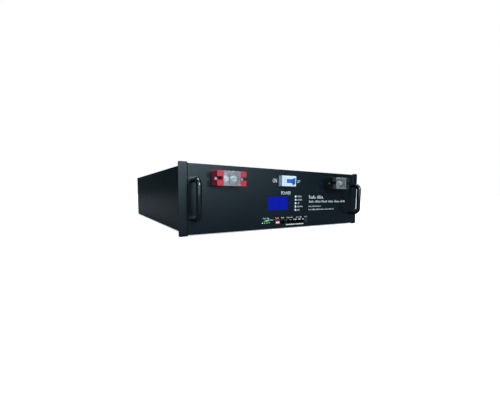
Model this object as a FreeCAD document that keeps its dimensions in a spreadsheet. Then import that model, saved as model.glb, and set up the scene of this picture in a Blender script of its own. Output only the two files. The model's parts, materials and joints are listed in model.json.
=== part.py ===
"""Three-unit rack battery: a sheet-steel case that bolts into a 19 inch rack, with its front controls.

Millimetres. X runs along the front panel, Y into the rack and Z up. The origin is the centre of the
four rack slots, on the rear face of the ears, which is the face that the rack's rails touch.
"""
import FreeCAD, Part
import math
import os
import re
import Sketcher

doc = FreeCAD.newDocument("rack_battery")
sheet = doc.addObject("Spreadsheet::Sheet", "Sizes")

SIZES = {
    # rack interface
    "rack_width": 482.6, "ear_wide": 16.8, "ear_height": 132.5, "ear_over": 2.25, "ear_thick": 2.0,
    "ear_corner": 2.5, "ear_bend": 1.5, "ear_leg": 42.0, "ear_leg_end": 12.25, "ear_screw_size": 5.0,
    "ear_screw_pitch": 64.0, "ear_screw_row": 20.0,
    "slot_long": 10.3, "slot_wide": 6.8, "slot_edge": 8.75, "slot_pitch_z": 88.9,
    # case
    "body_depth": 567.0, "wall": 1.5, "panel_thick": 2.0, "lip": 14.0, "panel_lip": 20.0,
    "case_screw_size": 4.0, "rear_screw": 3.0, "small_screw": 3.0, "cover_screw_end": 40.0,
    "vent_pitch_x": 34.0, "vent_pitch_z": 9.0, "vent_long": 24.0, "vent_wide": 3.0,
    # handles
    "handle_in": 10.5, "handle_rod": 10.0, "handle_pitch": 70.0, "handle_reach": 27.0,
    "handle_bend": 12.0, "handle_screw": 5.0, "handle_thread": 12.0, "thread_spare": 2.0,
    # battery terminals
    "terminal_in": 75.5, "terminal_down": 25.6, "terminal_long": 60.0, "terminal_tall": 27.4,
    "terminal_deep": 24.4, "terminal_floor": 8.0, "terminal_foot": 10.0, "terminal_well": 35.8,
    "terminal_slot_long": 10.8, "terminal_slot_wide": 6.4, "terminal_screw_in": 3.0,
    "terminal_corner": 1.0, "terminal_boss_long": 31.0, "terminal_boss_tall": 17.0,
    "terminal_boss_deep": 5.0, "stud_pitch": 17.4, "stud_size": 6.0, "stud_reach": 19.0,
    "plate_wide": 12.4, "plate_tall": 18.0, "plate_thick": 2.0, "nut_flats": 10.0, "nut_thick": 5.0,
    "washer_size": 12.0, "washer_thick": 1.2, "busbar_thick": 3.0, "busbar_drop": 24.0,
    "stud_tail": 12.0, "pin_gap": 0.05, "guard_rim": 2.2, "guard_wall": 1.6, "guard_gap": 0.4,
    "hinge_gap": 0.8, "guard_lip": 5.0, "guard_pin": 2.0, "guard_pin_reach": 1.4,
    # circuit breaker
    "breaker_x": -3.45, "breaker_down": 24.85, "nose_long": 39.0, "nose_tall": 22.5, "nose_deep": 11.7,
    "breaker_long": 80.0, "breaker_tall": 26.5, "breaker_deep": 56.0, "breaker_slot_long": 18.0,
    "breaker_slot_tall": 8.4, "toggle_x": -1.0, "toggle_sink": 6.0, "toggle_drum": 6.5,
    "toggle_tall": 7.6, "toggle_reach": 15.0, "toggle_grip_tall": 13.9, "toggle_grip_deep": 4.0,
    "toggle_grip_more": 0.8, "toggle_thick": 3.6, "toggle_angle": 42.0, "toggle_pin": 3.0,
    "toggle_pin_reach": 2.2, "toggle_gap": 0.5, "toggle_edge": 0.8, "nose_edge": 0.6,
    "groove_in": 6.0, "groove_wide": 1.0, "strap_wide": 16.0, "strap_thick": 1.5,
    "strap_screw_z": 18.0, "breaker_terminal_y": 30.0,
    # display and menu buttons
    "display_x": -23.1, "display_below": 48.55, "display_wide": 54.8, "display_tall": 29.7,
    "display_rim": 6.0, "display_deep": 8.0, "button_x": 25.3, "button_pitch": 7.6,
    "button_size": 4.6, "button_collar": 6.4, "button_proud": 1.3, "button_travel": 0.5,
    "button_stem": 2.6, "button_back": 0.3, "button_flange": 1.0, "button_edge": 0.6,
    "button_rest": 0.3, "tact_size": 6.0, "tact_tall": 2.4, "button_post": 3.0, "glass_thick": 1.7,
    "cutout_gap": 0.2,
    # row of ports, each height measured up from the case's underside
    "row_board_up": 5.9, "board_thick": 1.6, "board_front": 1.0, "board_deep": 46.0,
    "port_board_wide": 144.0, "port_proud": 0.6, "lamp_x": -65.0, "lamp_up": 13.4,
    "lamp_pitch": 5.8, "lamp_size": 3.0, "lamp_proud": 1.0, "lamp_foot": 4.0,
    "dip_x": -24.85, "dip_up": 14.3, "dip_wide": 10.2, "dip_tall": 9.6, "dip_pitch": 2.4,
    "dip_slot_wide": 2.0, "dip_slot_tall": 6.6, "slider_wide": 1.8, "slider_tall": 3.8,
    "slider_sink": 1.4, "slider_proud": 0.7, "slider_gap": 0.2, "dip_back": 3.4,
    "data_x": -9.6, "data_up": 13.4, "data_wide": 12.2, "data_tall": 11.0, "data_deep": 16.0,
    "data_sill": 1.2, "data_wall": 2.0, "plug_wide": 9.7, "plug_tall": 6.8, "plug_latch_wide": 4.4,
    "plug_latch_tall": 1.5,
    "jack_x": 24.9, "jack_pitch": 27.2, "jack_wide": 25.0, "jack_tall": 13.8,
    "jack_deep": 19.0, "socket_pitch": 12.2, "socket_wide": 11.7, "socket_tall": 7.0,
    "socket_sill": 2.2, "latch_wide": 6.2, "latch_tall": 2.2, "socket_deep": 14.0,
    "port_lamp_wide": 2.4, "port_lamp_tall": 1.8, "port_lamp_deep": 1.5, "port_lamp_out": 4.6,
    "switch_x": 58.6, "switch_up": 13.0, "switch_bezel": 10.4, "switch_barrel": 8.6,
    "switch_flange": 1.5, "switch_deep": 8.0, "switch_nut_flats": 12.0, "switch_nut_thick": 3.0,
    "button_play": 0.1, "switch_ring": 7.6, "switch_ring_sink": 1.0, "switch_cap": 6.0,
    "switch_proud": 1.5, "switch_travel": 1.2, "switch_floor": 2.0, "switch_rest": 0.5,
    # cells
    "channel_wide": 19.5, "front_bay": 221.5, "cell_top_gap": 7.5, "cell_corner": 3.0,
    "cell_gap": 1.0, "row_gap": 4.0, "cell_back_gap": 18.0, "pad_thick": 1.5, "post_size": 14.0,
    "post_tall": 2.0, "post_in": 28.0, "link_thick": 1.5, "link_wide": 20.0, "link_spare": 2.0,
    "end_plate": 8.0, "band_thick": 0.6, "band_tall": 15.0,
    # battery management board and leads
    "bms_x": 10.0, "bms_y": 145.0, "bms_wide": 200.0, "bms_deep": 120.0, "bms_lift": 10.5,
    "standoff_size": 6.0, "standoff_in": 6.0, "port_standoff_in": 8.0, "sink_left": 20.0,
    "sink_wide": 140.0, "sink_deep": 96.0, "sink_base": 4.0, "sink_tall": 24.0, "fin_thick": 2.0,
    "chip_tall": 4.4, "chip_wide": 10.0, "chip_deep": 15.0, "chip_pitch": 20.0,
    "board_terminal": 14.0, "board_terminal_tall": 12.0, "board_terminal_y": 35.0,
    "lead_size": 8.0, "tail_up": 6.0,
}

CELLS_PER_ROW = 8
CHIPS_PER_ROW = 7
FINS = 15
COVER_SCREWS_PER_SIDE = 5
MENU_BUTTONS = ("menu_button", "enter_button", "up_button", "down_button", "escape_button")
DIP_SLIDERS = ("dip_slider_one", "dip_slider_two", "dip_slider_three", "dip_slider_four")
FACE = "-panel_thick"
BACK = "body_depth - panel_thick"
BODY_WIDTH = "(rack_width - ear_wide * 2)"
BODY_HEIGHT = "(ear_height - ear_over * 2)"
SIDE = f"({BODY_WIDTH} / 2)"
TOP = f"({BODY_HEIGHT} / 2)"
FOOT = f"(-{TOP})"
HANDLE_X = f"({SIDE} - handle_in)"
TERMINAL_X = f"({SIDE} - terminal_in)"
TERMINAL_Z = f"({TOP} - terminal_down)"
TERMINAL_SCREW_X = "(terminal_long / 2 - terminal_screw_in)"
BREAKER_Z = f"({TOP} - breaker_down)"
DISPLAY_Z = f"({BREAKER_Z} - display_below)"
LAMP_Z = f"({FOOT} + lamp_up)"
DIP_Z = f"({FOOT} + dip_up)"
DATA_Z = f"({FOOT} + data_up)"
SWITCH_Z = f"({FOOT} + switch_up)"
ROW_BOARD_Z = f"({FOOT} + row_board_up)"
JACK_Z = f"({ROW_BOARD_Z} + jack_tall / 2)"
SLOT_X = "(rack_width / 2 - slot_edge)"
TURN_TO = {
    "x": FreeCAD.Rotation(FreeCAD.Vector(0, 1, 0), 90),
    "y": FreeCAD.Rotation(FreeCAD.Vector(1, 0, 0), -90),
    "z": FreeCAD.Rotation(),
}


def fill_sheet():
    """Write each size in the sheet under its own name."""
    for row, (word, size) in enumerate(SIZES.items(), start=1):
        sheet.set(f"A{row}", word)
        sheet.set(f"B{row}", str(size))
        sheet.setAlias(f"B{row}", word)
    doc.recompute()


def formula(text):
    """Point each size name in a formula at the sheet."""
    return re.sub(r"[a-z][a-z_]*", lambda word: "Sizes." + word.group() if word.group() in SIZES
                  else word.group(), text)


def number(text):
    """The present value of a formula."""
    return float(sheet.evalExpression(formula(text)))


def around(centre, size):
    """Low and high formulas of a span about its centre."""
    return f"({centre}) - ({size}) / 2", f"({centre}) + ({size}) / 2"


# ---------------------------------------------------------------- primitives and booleans

def place(piece, point):
    for edge, where in zip("xyz", point):
        piece.setExpression(f"Placement.Base.{edge}", formula(where))
    return piece


def block(name, across, deep, tall):
    """A block between two formulas along X, Y and Z."""
    box = doc.addObject("Part::Box", name)
    for side, (low, high) in (("Length", across), ("Width", deep), ("Height", tall)):
        box.setExpression(side, formula(f"({high}) - ({low})"))
    return place(box, (across[0], deep[0], tall[0]))


def rod(name, radius, start, length, axis="y"):
    """A round bar from a point, along +X, +Y or +Z."""
    bar = doc.addObject("Part::Cylinder", name)
    bar.Placement.Rotation = TURN_TO[axis]
    bar.setExpression("Radius", formula(radius))
    bar.setExpression("Height", formula(length))
    return place(bar, start)


def hexagon(name, flats, start, length):
    """A hexagonal bar along +Y, with one corner upwards."""
    bar = doc.addObject("Part::Prism", name)
    bar.Polygon = 6
    bar.Placement.Rotation = TURN_TO["y"].multiply(FreeCAD.Rotation(FreeCAD.Vector(0, 0, 1), 90))
    bar.setExpression("Circumradius", formula(f"({flats}) / {math.sqrt(3)}"))
    bar.setExpression("Height", formula(length))
    return place(bar, start)


def join(name, *pieces):
    """One solid from pieces that touch."""
    whole = doc.addObject("Part::MultiFuse", name)
    whole.Shapes = list(pieces)
    whole.Refine = True
    return whole


def group(name, pieces):
    """Several separate solids in one node."""
    together = doc.addObject("Part::Compound", name)
    together.Links = list(pieces)
    return together


def cut(name, base, *tools):
    left = doc.addObject("Part::Cut", name)
    left.Base = base
    left.Tool = tools[0] if len(tools) == 1 else join(name + "_cutters", *tools)
    return left


def rounded(name, base, radius, chosen):
    """Round the edges of a piece that a test picks out."""
    doc.recompute()
    soft = doc.addObject("Part::Fillet", name)
    soft.Base = base
    picked = [i for i, edge in enumerate(base.Shape.Edges, start=1) if chosen(edge)]
    soft.Edges = [(i, number(radius), number(radius)) for i in picked]
    return soft


def runs_along(edge, axis):
    """Whether an edge is straight and lies along an axis."""
    if not isinstance(edge.Curve, Part.Line):
        return False
    return abs(getattr(edge.Curve.Direction, axis)) > 0.999


def socket_screw(name, thread, start, length, inwards=True):
    """A screw with a round head standing on start; its shank runs along +Y, or along -Y."""
    x, y, z = start
    tall = f"{thread} * 0.6"
    head_y = f"{y} - {tall}" if inwards else y
    shank_y = y if inwards else f"{y} - ({length})"
    socket_y = f"{y} - {tall}" if inwards else f"{y} + {tall} / 2"
    head = rod(name + "_head", f"{thread} * 0.9", (x, head_y, z), tall)
    shank = rod(name + "_shank", f"{thread} / 2", (x, shank_y, z), length)
    socket = hexagon(name + "_socket", f"{thread} * 0.8", (x, socket_y, z), f"{tall} / 2")
    return cut(name, join(name + "_whole", head, shank), socket)


def flush_screw(name, thread, start, outwards, head_deep, length):
    """A countersunk screw, flush with a face at start, whose shank points away from outwards."""
    turned = FreeCAD.Rotation(FreeCAD.Vector(0, 0, 1), FreeCAD.Vector(*outwards).negative())
    head = doc.addObject("Part::Cone", name + "_head")
    head.Placement.Rotation = turned
    head.setExpression("Radius1", formula(f"{thread} * 0.95"))
    head.setExpression("Radius2", formula(f"{thread} * 0.5"))
    head.setExpression("Height", formula(head_deep))
    place(head, start)
    shank = doc.addObject("Part::Cylinder", name + "_shank")
    shank.Placement.Rotation = turned
    shank.setExpression("Radius", formula(f"{thread} * 0.5"))
    shank.setExpression("Height", formula(length))
    place(shank, start)
    return join(name, head, shank)


def case_screw(name, start, outwards):
    """A countersunk case screw that goes through two sheets."""
    return flush_screw(name, "case_screw_size", start, outwards, "wall", "wall * 2")


# ---------------------------------------------------------------- bodies from sketches

def new_body(label):
    body = doc.addObject("PartDesign::Body", label)
    body.Label = label
    return body


def sketch_on(body, role, offset="0"):
    """A sketch on one of the body's origin planes, moved along that plane's normal."""
    sketch = body.newObject("Sketcher::SketchObject", body.Name + "_sketch")
    plane = [feature for feature in body.Origin.OriginFeatures if feature.Role == role][0]
    sketch.AttachmentSupport = (plane, [""])
    sketch.MapMode = "FlatFace"
    sketch.setExpression("AttachmentOffset.Base.z", formula(offset))
    return sketch


def hold(sketch, kind, line, end, where):
    """Tie one coordinate of a sketch point to a formula."""
    index = sketch.addConstraint(Sketcher.Constraint(kind, -1, 1, line, end, number(where)))
    sketch.setExpression(f"Constraints[{index}]", formula(where))


def outline(sketch, corners):
    """A closed outline of straight lines, with each corner tied to its two formulas."""
    first = sketch.GeometryCount
    count = len(corners)
    spots = [FreeCAD.Vector(number(x), number(y), 0) for x, y in corners]
    for i in range(count):
        sketch.addGeometry(Part.LineSegment(spots[i], spots[(i + 1) % count]), False)
    for i in range(count):
        sketch.addConstraint(Sketcher.Constraint("Coincident", first + i, 2, first + (i + 1) % count, 1))
    for i, (x, y) in enumerate(corners):
        hold(sketch, "DistanceX", first + i, 1, x)
        hold(sketch, "DistanceY", first + i, 1, y)


def rectangle(sketch, across, tall):
    (left, right), (low, high) = across, tall
    outline(sketch, [(left, low), (right, low), (right, high), (left, high)])


def circle(sketch, centre, radius):
    x, y = centre
    spot = FreeCAD.Vector(number(x), number(y), 0)
    index = sketch.addGeometry(Part.Circle(spot, FreeCAD.Vector(0, 0, 1), number(radius)), False)
    hold(sketch, "DistanceX", index, 3, x)
    hold(sketch, "DistanceY", index, 3, y)
    limit = sketch.addConstraint(Sketcher.Constraint("Radius", index, number(radius)))
    sketch.setExpression(f"Constraints[{limit}]", formula(radius))


def stadium(sketch, centre, length, width):
    """A slot with round ends, along the sketch's X."""
    x, y = centre
    half = f"(({length}) - ({width})) / 2"
    radius = f"({width}) / 2"
    cx, cy, reach, r = number(x), number(y), number(half), number(radius)
    top = Part.LineSegment(FreeCAD.Vector(cx - reach, cy + r, 0), FreeCAD.Vector(cx + reach, cy + r, 0))
    bottom = Part.LineSegment(FreeCAD.Vector(cx + reach, cy - r, 0), FreeCAD.Vector(cx - reach, cy - r, 0))
    up = FreeCAD.Vector(0, 0, 1)
    right_end = Part.Circle(FreeCAD.Vector(cx + reach, cy, 0), up, r)
    left_end = Part.Circle(FreeCAD.Vector(cx - reach, cy, 0), up, r)
    right = Part.ArcOfCircle(right_end, -math.pi / 2, math.pi / 2)
    left = Part.ArcOfCircle(left_end, math.pi / 2, 3 * math.pi / 2)
    a, b, c, d = sketch.addGeometry([top, right, bottom, left], False)
    for joint in ((a, 2, b, 2), (b, 1, c, 1), (c, 2, d, 2), (d, 1, a, 1)):
        sketch.addConstraint(Sketcher.Constraint("Tangent", *joint))
    hold(sketch, "DistanceX", b, 3, f"{x} + {half}")
    hold(sketch, "DistanceX", d, 3, f"{x} - {half}")
    hold(sketch, "DistanceY", b, 3, y)
    hold(sketch, "DistanceY", d, 3, y)
    limit = sketch.addConstraint(Sketcher.Constraint("Radius", b, r))
    sketch.setExpression(f"Constraints[{limit}]", formula(radius))


def pad(body, sketch, length, backwards=False):
    solid = body.newObject("PartDesign::Pad", body.Name + "_pad")
    solid.Profile = sketch
    solid.Reversed = backwards
    solid.setExpression("Length", formula(length))
    return solid


def pocket(body, sketch, length, backwards=False, both_ways=False):
    """Cut a sketch out of a body, and check that something was cut."""
    doc.recompute()
    before = body.Shape.Volume
    hole = body.newObject("PartDesign::Pocket", body.Name + "_pocket")
    hole.Profile = sketch
    hole.Reversed = backwards
    hole.Midplane = both_ways
    hole.setExpression("Length", formula(length))
    doc.recompute()
    if body.Shape.Volume > before - 1e-6:
        raise RuntimeError(f"{body.Label}: a pocket cut nothing")
    return hole


def soften(body, radius, chosen):
    """Round the edges of a body's newest feature that a test picks out."""
    doc.recompute()
    base = body.Tip
    edges = [f"Edge{i}" for i, edge in enumerate(base.Shape.Edges, start=1) if chosen(edge)]
    soft = body.newObject("PartDesign::Fillet", body.Name + "_fillet")
    soft.Base = (base, edges)
    soft.setExpression("Radius", formula(radius))
    return soft


# ---------------------------------------------------------------- case: trays, cover, panels and ears

def make_base_tray():
    """Bottom and side walls folded from one sheet, with narrow flanges for the cover and rear panel."""
    half = SIDE
    foot = FOOT
    wall_top = f"{TOP} - wall"
    long = ("0", f"{BACK} - wall")
    pieces = [block("tray_floor", (f"-{half}", half), long, (foot, f"{foot} + wall"))]
    for side, low, high in (("left", f"-{half}", f"-{half} + wall"), ("right", f"{half} - wall", half)):
        pieces.append(block(f"tray_{side}_wall", (low, high), long, (foot, wall_top)))
        inner = (f"-{half}", f"-{half} + lip") if side == "left" else (f"{half} - lip", half)
        pieces.append(block(f"tray_{side}_flange", inner, long, (f"{wall_top} - wall", wall_top)))
        rear = (f"{BACK} - wall * 2", f"{BACK} - wall")
        pieces.append(block(f"tray_{side}_rear", inner, rear, (foot, wall_top)))
    tray = join("tray_sheet", *pieces)
    holes = [rod(f"tray_cover_hole_{i}", "case_screw_size / 2", (x, y, f"{wall_top} - wall * 2"),
                 "wall * 3", "z") for i, (x, y) in enumerate(cover_screw_places()[0])]
    holes += [rod(f"tray_rear_hole_{i}", "rear_screw / 2", (x, f"{BACK} - wall * 3", z), "wall * 3")
              for i, (x, z) in enumerate(rear_screw_places())]
    holes += [rod(f"tray_ear_hole_{i}", "ear_screw_size / 2", (f"{x} - wall * 2", y, z), "wall * 4", "x")
              for i, (x, y, z) in enumerate(ear_screw_places())]
    sinks = [case_screw(f"tray_bottom_sink_{i}", (x, "panel_lip / 2", foot), (0, 0, -1))
             for i, x in enumerate(lip_screw_places())]
    return cut("base_tray", tray, *holes, *sinks)


def cover_screw_places():
    """Places of the cover's screws: along both side flanges, and over the front panel's lip."""
    step = f"({BACK} - cover_screw_end * 2) / {COVER_SCREWS_PER_SIDE - 1}"
    sides = [(f"{side} * ({SIDE} - lip / 2)", f"cover_screw_end + {i} * {step}")
             for side in (-1, 1) for i in range(COVER_SCREWS_PER_SIDE)]
    return sides, [(x, "panel_lip / 2") for x in lip_screw_places()]


def lip_screw_places():
    return [f"-{BODY_WIDTH} / 3", "0", f"{BODY_WIDTH} / 3"]


def rear_screw_places():
    return [(f"{side} * ({SIDE} - lip / 2)", f"{up} * {BODY_HEIGHT} / 3")
            for side in (-1, 1) for up in (-1, 0, 1)]


def ear_screw_places():
    """Points on the outer faces of the ears' legs: two columns of two screws a side."""
    return [(f"{side} * {SIDE}", f"(panel_lip + {deep} * ear_screw_row) / 2",
             f"{up} * ear_screw_pitch / 2") for side in (-1, 1) for deep in (0, 2) for up in (-1, 1)]


def make_top_cover():
    lid = block("cover_sheet", (f"-{SIDE}", SIDE), ("0", f"{BACK} - wall"),
                (f"{TOP} - wall", TOP))
    sides, front = cover_screw_places()
    sinks = [case_screw(f"cover_sink_{i}", (x, y, TOP), (0, 0, 1))
             for i, (x, y) in enumerate(sides + front)]
    return cut("top_cover", lid, *sinks)


def make_case_screws():
    """The cover's screws, and the ones through the tray's bottom into the panel's lower lip."""
    sides, front = cover_screw_places()
    top = [case_screw(f"cover_screw_{i}", (x, y, TOP), (0, 0, 1))
           for i, (x, y) in enumerate(sides + front)]
    bottom = [case_screw(f"bottom_screw_{i}", (x, "panel_lip / 2", FOOT), (0, 0, -1))
              for i, x in enumerate(lip_screw_places())]
    return group("case_screws", top + bottom)


def make_rear_panel():
    """A flat plate on the tray's rear flanges, with a grille of pressure-relief slots."""
    body = new_body("rear_panel")
    sketch = sketch_on(body, "XZ_Plane", f"-({BACK})")
    rectangle(sketch, around("0", BODY_WIDTH), around("0", BODY_HEIGHT))
    pad(body, sketch, "wall")
    holes = sketch_on(body, "XZ_Plane", f"-({BACK})")
    for x, z in rear_screw_places():
        circle(holes, (x, z), "rear_screw / 2")
    for column in (-1, 0, 1):
        for row in (-1, 0, 1):
            stadium(holes, (f"{column} * vent_pitch_x", f"{row} * vent_pitch_z"), "vent_long", "vent_wide")
    pocket(body, holes, "wall", backwards=True)
    return body


def make_rear_screws():
    return group("rear_panel_screws", [
        socket_screw(f"rear_screw_{i}", "rear_screw", (x, BACK, z), "wall * 2", inwards=False)
        for i, (x, z) in enumerate(rear_screw_places())])


def make_front_panel():
    """The panel: a plate with four lips folded back, and a cut-out for everything it carries."""
    body = new_body("front_panel")
    plate = sketch_on(body, "XZ_Plane")
    rectangle(plate, around("0", BODY_WIDTH), around("0", BODY_HEIGHT))
    pad(body, plate, "panel_thick")
    lips = sketch_on(body, "XZ_Plane")
    reach = f"{SIDE} - lip - wall"
    inside = f"{TOP} - wall"
    rectangle(lips, (f"-({reach})", reach), (f"{inside} - wall", inside))
    rectangle(lips, (f"-({reach})", reach), (f"-({inside})", f"-({inside}) + wall"))
    side_low = f"{SIDE} - wall * 2"
    side_high = f"{SIDE} - wall"
    stand = f"{TOP} - lip / 2"
    rectangle(lips, (side_low, side_high), (f"-({stand})", stand))
    rectangle(lips, (f"-({side_high})", f"-({side_low})"), (f"-({stand})", stand))
    pad(body, lips, "panel_lip", backwards=True)
    lip_holes = sketch_on(body, "XY_Plane")
    for x in lip_screw_places():
        circle(lip_holes, (x, "panel_lip / 2"), "case_screw_size / 2")
    pocket(body, lip_holes, BODY_HEIGHT, both_ways=True)
    holes = sketch_on(body, "XZ_Plane")
    for side in (-1, 1):
        for up in (-1, 1):
            circle(holes, (f"{side} * {HANDLE_X}", f"{up} * handle_pitch / 2"), "handle_screw / 2")
        rectangle(holes, around(f"{side} * {TERMINAL_X}", "terminal_boss_long"),
                  around(TERMINAL_Z, "terminal_boss_tall"))
        for end in (-1, 1):
            screw_x = f"{side} * {TERMINAL_X} + {end} * {TERMINAL_SCREW_X}"
            circle(holes, (screw_x, TERMINAL_Z), "small_screw / 2")
        circle(holes, ("breaker_x", f"{BREAKER_Z} + {side} * strap_screw_z"), "small_screw / 2")
    gap = "cutout_gap * 2"
    rectangle(holes, around("breaker_x", f"nose_long + {gap}"), around(BREAKER_Z, f"nose_tall + {gap}"))
    rectangle(holes, around("display_x", "display_wide"), around(DISPLAY_Z, "display_tall"))
    for i in range(len(MENU_BUTTONS)):
        circle(holes, ("button_x", f"{DISPLAY_Z} + {2 - i} * button_pitch"), "button_size / 2 + cutout_gap")
    for i in range(4):
        circle(holes, (f"lamp_x + {i} * lamp_pitch", LAMP_Z), "lamp_size / 2 + cutout_gap / 2")
    rectangle(holes, around("dip_x", f"dip_wide + {gap}"), around(DIP_Z, f"dip_tall + {gap}"))
    rectangle(holes, around("data_x", f"data_wide + {gap}"), around(DATA_Z, f"data_tall + {gap}"))
    for side in (-1, 1):
        rectangle(holes, around(f"jack_x + {side} * jack_pitch / 2", f"jack_wide + {gap}"),
                  around(JACK_Z, f"jack_tall + {gap}"))
    circle(holes, ("switch_x", SWITCH_Z), "switch_barrel / 2 + cutout_gap")
    pocket(body, holes, "panel_thick * 2", both_ways=True)
    ear_holes = sketch_on(body, "YZ_Plane")
    for x, y, z in ear_screw_places()[:4]:
        circle(ear_holes, (y, z), "ear_screw_size / 2")
    pocket(body, ear_holes, BODY_WIDTH, both_ways=True)
    return body


def make_rack_ear(label, side):
    """An angle bracket: a flange that bolts to the rack, and a leg along the case's side."""
    blank = new_body(label + "_blank")
    near, far = f"{side} * {SIDE}", f"{side} * rack_width / 2"
    skin = f"{side} * ({SIDE} + ear_thick)"
    order = (lambda low, high: (low, high)) if side > 0 else (lambda low, high: (high, low))
    flange = sketch_on(blank, "XZ_Plane")
    rectangle(flange, order(near, far), around("0", "ear_height"))
    pad(blank, flange, "ear_thick")
    leg = sketch_on(blank, "XZ_Plane")
    rectangle(leg, order(near, skin), around("0", "ear_height - ear_leg_end * 2"))
    pad(blank, leg, "ear_leg", backwards=True)
    slots = sketch_on(blank, "XZ_Plane")
    for up in (-1, 1):
        stadium(slots, (f"{side} * {SLOT_X}", f"{up} * slot_pitch_z / 2"), "slot_long", "slot_wide")
    pocket(blank, slots, "ear_thick * 2", both_ways=True)
    edge_x, front = number(near), number("-ear_thick")
    soften(blank, "ear_bend", lambda edge: runs_along(edge, "z")
           and abs(edge.CenterOfMass.x - edge_x) < 0.01 and abs(edge.CenterOfMass.y - front) < 0.01)
    tip_x = number(far)
    soften(blank, "ear_corner", lambda edge: runs_along(edge, "y")
           and abs(edge.CenterOfMass.x - tip_x) < 0.01)
    places = [place for place in ear_screw_places() if place[0].startswith(str(side) + " ")]
    sinks = [ear_screw(f"{label}_sink_{i}", place, side) for i, place in enumerate(places)]
    return cut(label, blank, *sinks)


def ear_screw(name, spot, side):
    """A countersunk screw through the ear's leg, the tray's wall and the panel's lip."""
    x, y, z = spot
    start = (f"{x} + {side} * ear_thick", y, z)
    return flush_screw(name, "ear_screw_size", start, (side, 0, 0), "ear_thick", "ear_thick + wall * 2")


def make_ear_screws():
    screws = []
    for i, spot in enumerate(ear_screw_places()):
        side = -1 if spot[0].startswith("-") else 1
        screws.append(ear_screw(f"ear_screw_{i}", spot, side))
    return group("ear_screws", screws)


# ---------------------------------------------------------------- handles

def make_handle(label, side):
    """A bow of round bar: two posts, two quarter bends and a grip, tapped from behind."""
    x = f"{side} * {HANDLE_X}"
    centre_y = f"{FACE} - handle_reach + handle_bend"
    centre_z = "(handle_pitch / 2 - handle_bend)"
    radius = "handle_rod / 2"
    grip_start = (x, f"{FACE} - handle_reach", f"-{centre_z}")
    pieces = [rod(label + "_grip", radius, grip_start, f"{centre_z} * 2", "z")]
    up, forwards, across = (FreeCAD.Vector(*way) for way in ((0, 0, 1), (0, -1, 0), (1, 0, 0)))
    turns = {
        1: FreeCAD.Rotation(up, forwards, across, "XYZ"),
        -1: FreeCAD.Rotation(forwards, up.negative(), across, "XYZ"),
    }
    holes = []
    for end, turn in turns.items():
        bend = doc.addObject("Part::Torus", f"{label}_bend")
        bend.Placement.Rotation = turn
        bend.setExpression("Radius1", formula("handle_bend"))
        bend.setExpression("Radius2", formula(radius))
        bend.Angle3 = 90
        pieces.append(place(bend, (x, centre_y, f"{end} * {centre_z}")))
        post_z = f"{end} * handle_pitch / 2"
        pieces.append(rod(f"{label}_post", radius, (x, centre_y, post_z), "handle_reach - handle_bend"))
        holes.append(rod(f"{label}_thread", "handle_screw / 2", (x, f"{FACE} - handle_thread", post_z),
                         "handle_thread"))
    return cut(label, join(label + "_bar", *pieces), *holes)


def make_handle_screws():
    return group("handle_screws", [
        socket_screw(f"handle_screw_{side}_{up}", "handle_screw",
                     (f"{side} * {HANDLE_X}", "0", f"{up} * handle_pitch / 2"),
                     "panel_thick + handle_thread - thread_spare", inwards=False)
        for side in (-1, 1) for up in (-1, 1)])


# ---------------------------------------------------------------- battery terminals

PIVOT_Y = f"({FACE} - terminal_floor - hinge_gap - guard_wall)"
PIVOT_Z = f"({TERMINAL_Z} + terminal_tall / 2 - guard_wall)"


def make_terminal_base(label, side):
    """A moulded block: two tall ends with screw slots, and a low floor for the studs between them."""
    body = new_body(label)
    x = f"{side} * {TERMINAL_X}"
    foot = sketch_on(body, "XZ_Plane", "panel_thick")
    rectangle(foot, around(x, "terminal_long"), around(TERMINAL_Z, "terminal_tall"))
    pad(body, foot, "terminal_deep")
    soften(body, "terminal_corner", lambda edge: runs_along(edge, "y"))
    boss = sketch_on(body, "XZ_Plane", "panel_thick")
    rectangle(boss, around(x, "terminal_boss_long - cutout_gap * 2"),
              around(TERMINAL_Z, "terminal_boss_tall - cutout_gap * 2"))
    pad(body, boss, "terminal_boss_deep", backwards=True)
    well = sketch_on(body, "XZ_Plane", "panel_thick + terminal_deep")
    rectangle(well, around(x, "terminal_well"), around(TERMINAL_Z, "terminal_tall * 1.1"))
    pocket(body, well, "terminal_deep - terminal_floor")
    slots = sketch_on(body, "XZ_Plane", "panel_thick + terminal_deep")
    for end in (-1, 1):
        outer = f"{x} + {end} * (terminal_long / 2 + terminal_corner)"
        inner = f"{x} + {end} * (terminal_long / 2 - terminal_slot_long)"
        across = (outer, inner) if end < 0 else (inner, outer)
        rectangle(slots, across, around(TERMINAL_Z, "terminal_slot_wide"))
    pocket(body, slots, "terminal_deep - terminal_foot")
    holes = sketch_on(body, "XZ_Plane", "panel_thick + terminal_deep")
    for end in (-1, 1):
        circle(holes, (f"{x} + {end} * {TERMINAL_SCREW_X}", TERMINAL_Z), "small_screw / 2")
        circle(holes, (f"{x} + {end} * stud_pitch / 2", TERMINAL_Z), "stud_size / 2")
    pocket(body, holes, "terminal_deep + terminal_boss_deep")
    pins = sketch_on(body, "YZ_Plane", x)
    circle(pins, (PIVOT_Y, PIVOT_Z), "guard_pin / 2 + pin_gap")
    pocket(body, pins, "terminal_well + (guard_pin_reach - guard_gap) * 2 + pin_gap * 4", both_ways=True)
    return body


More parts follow.
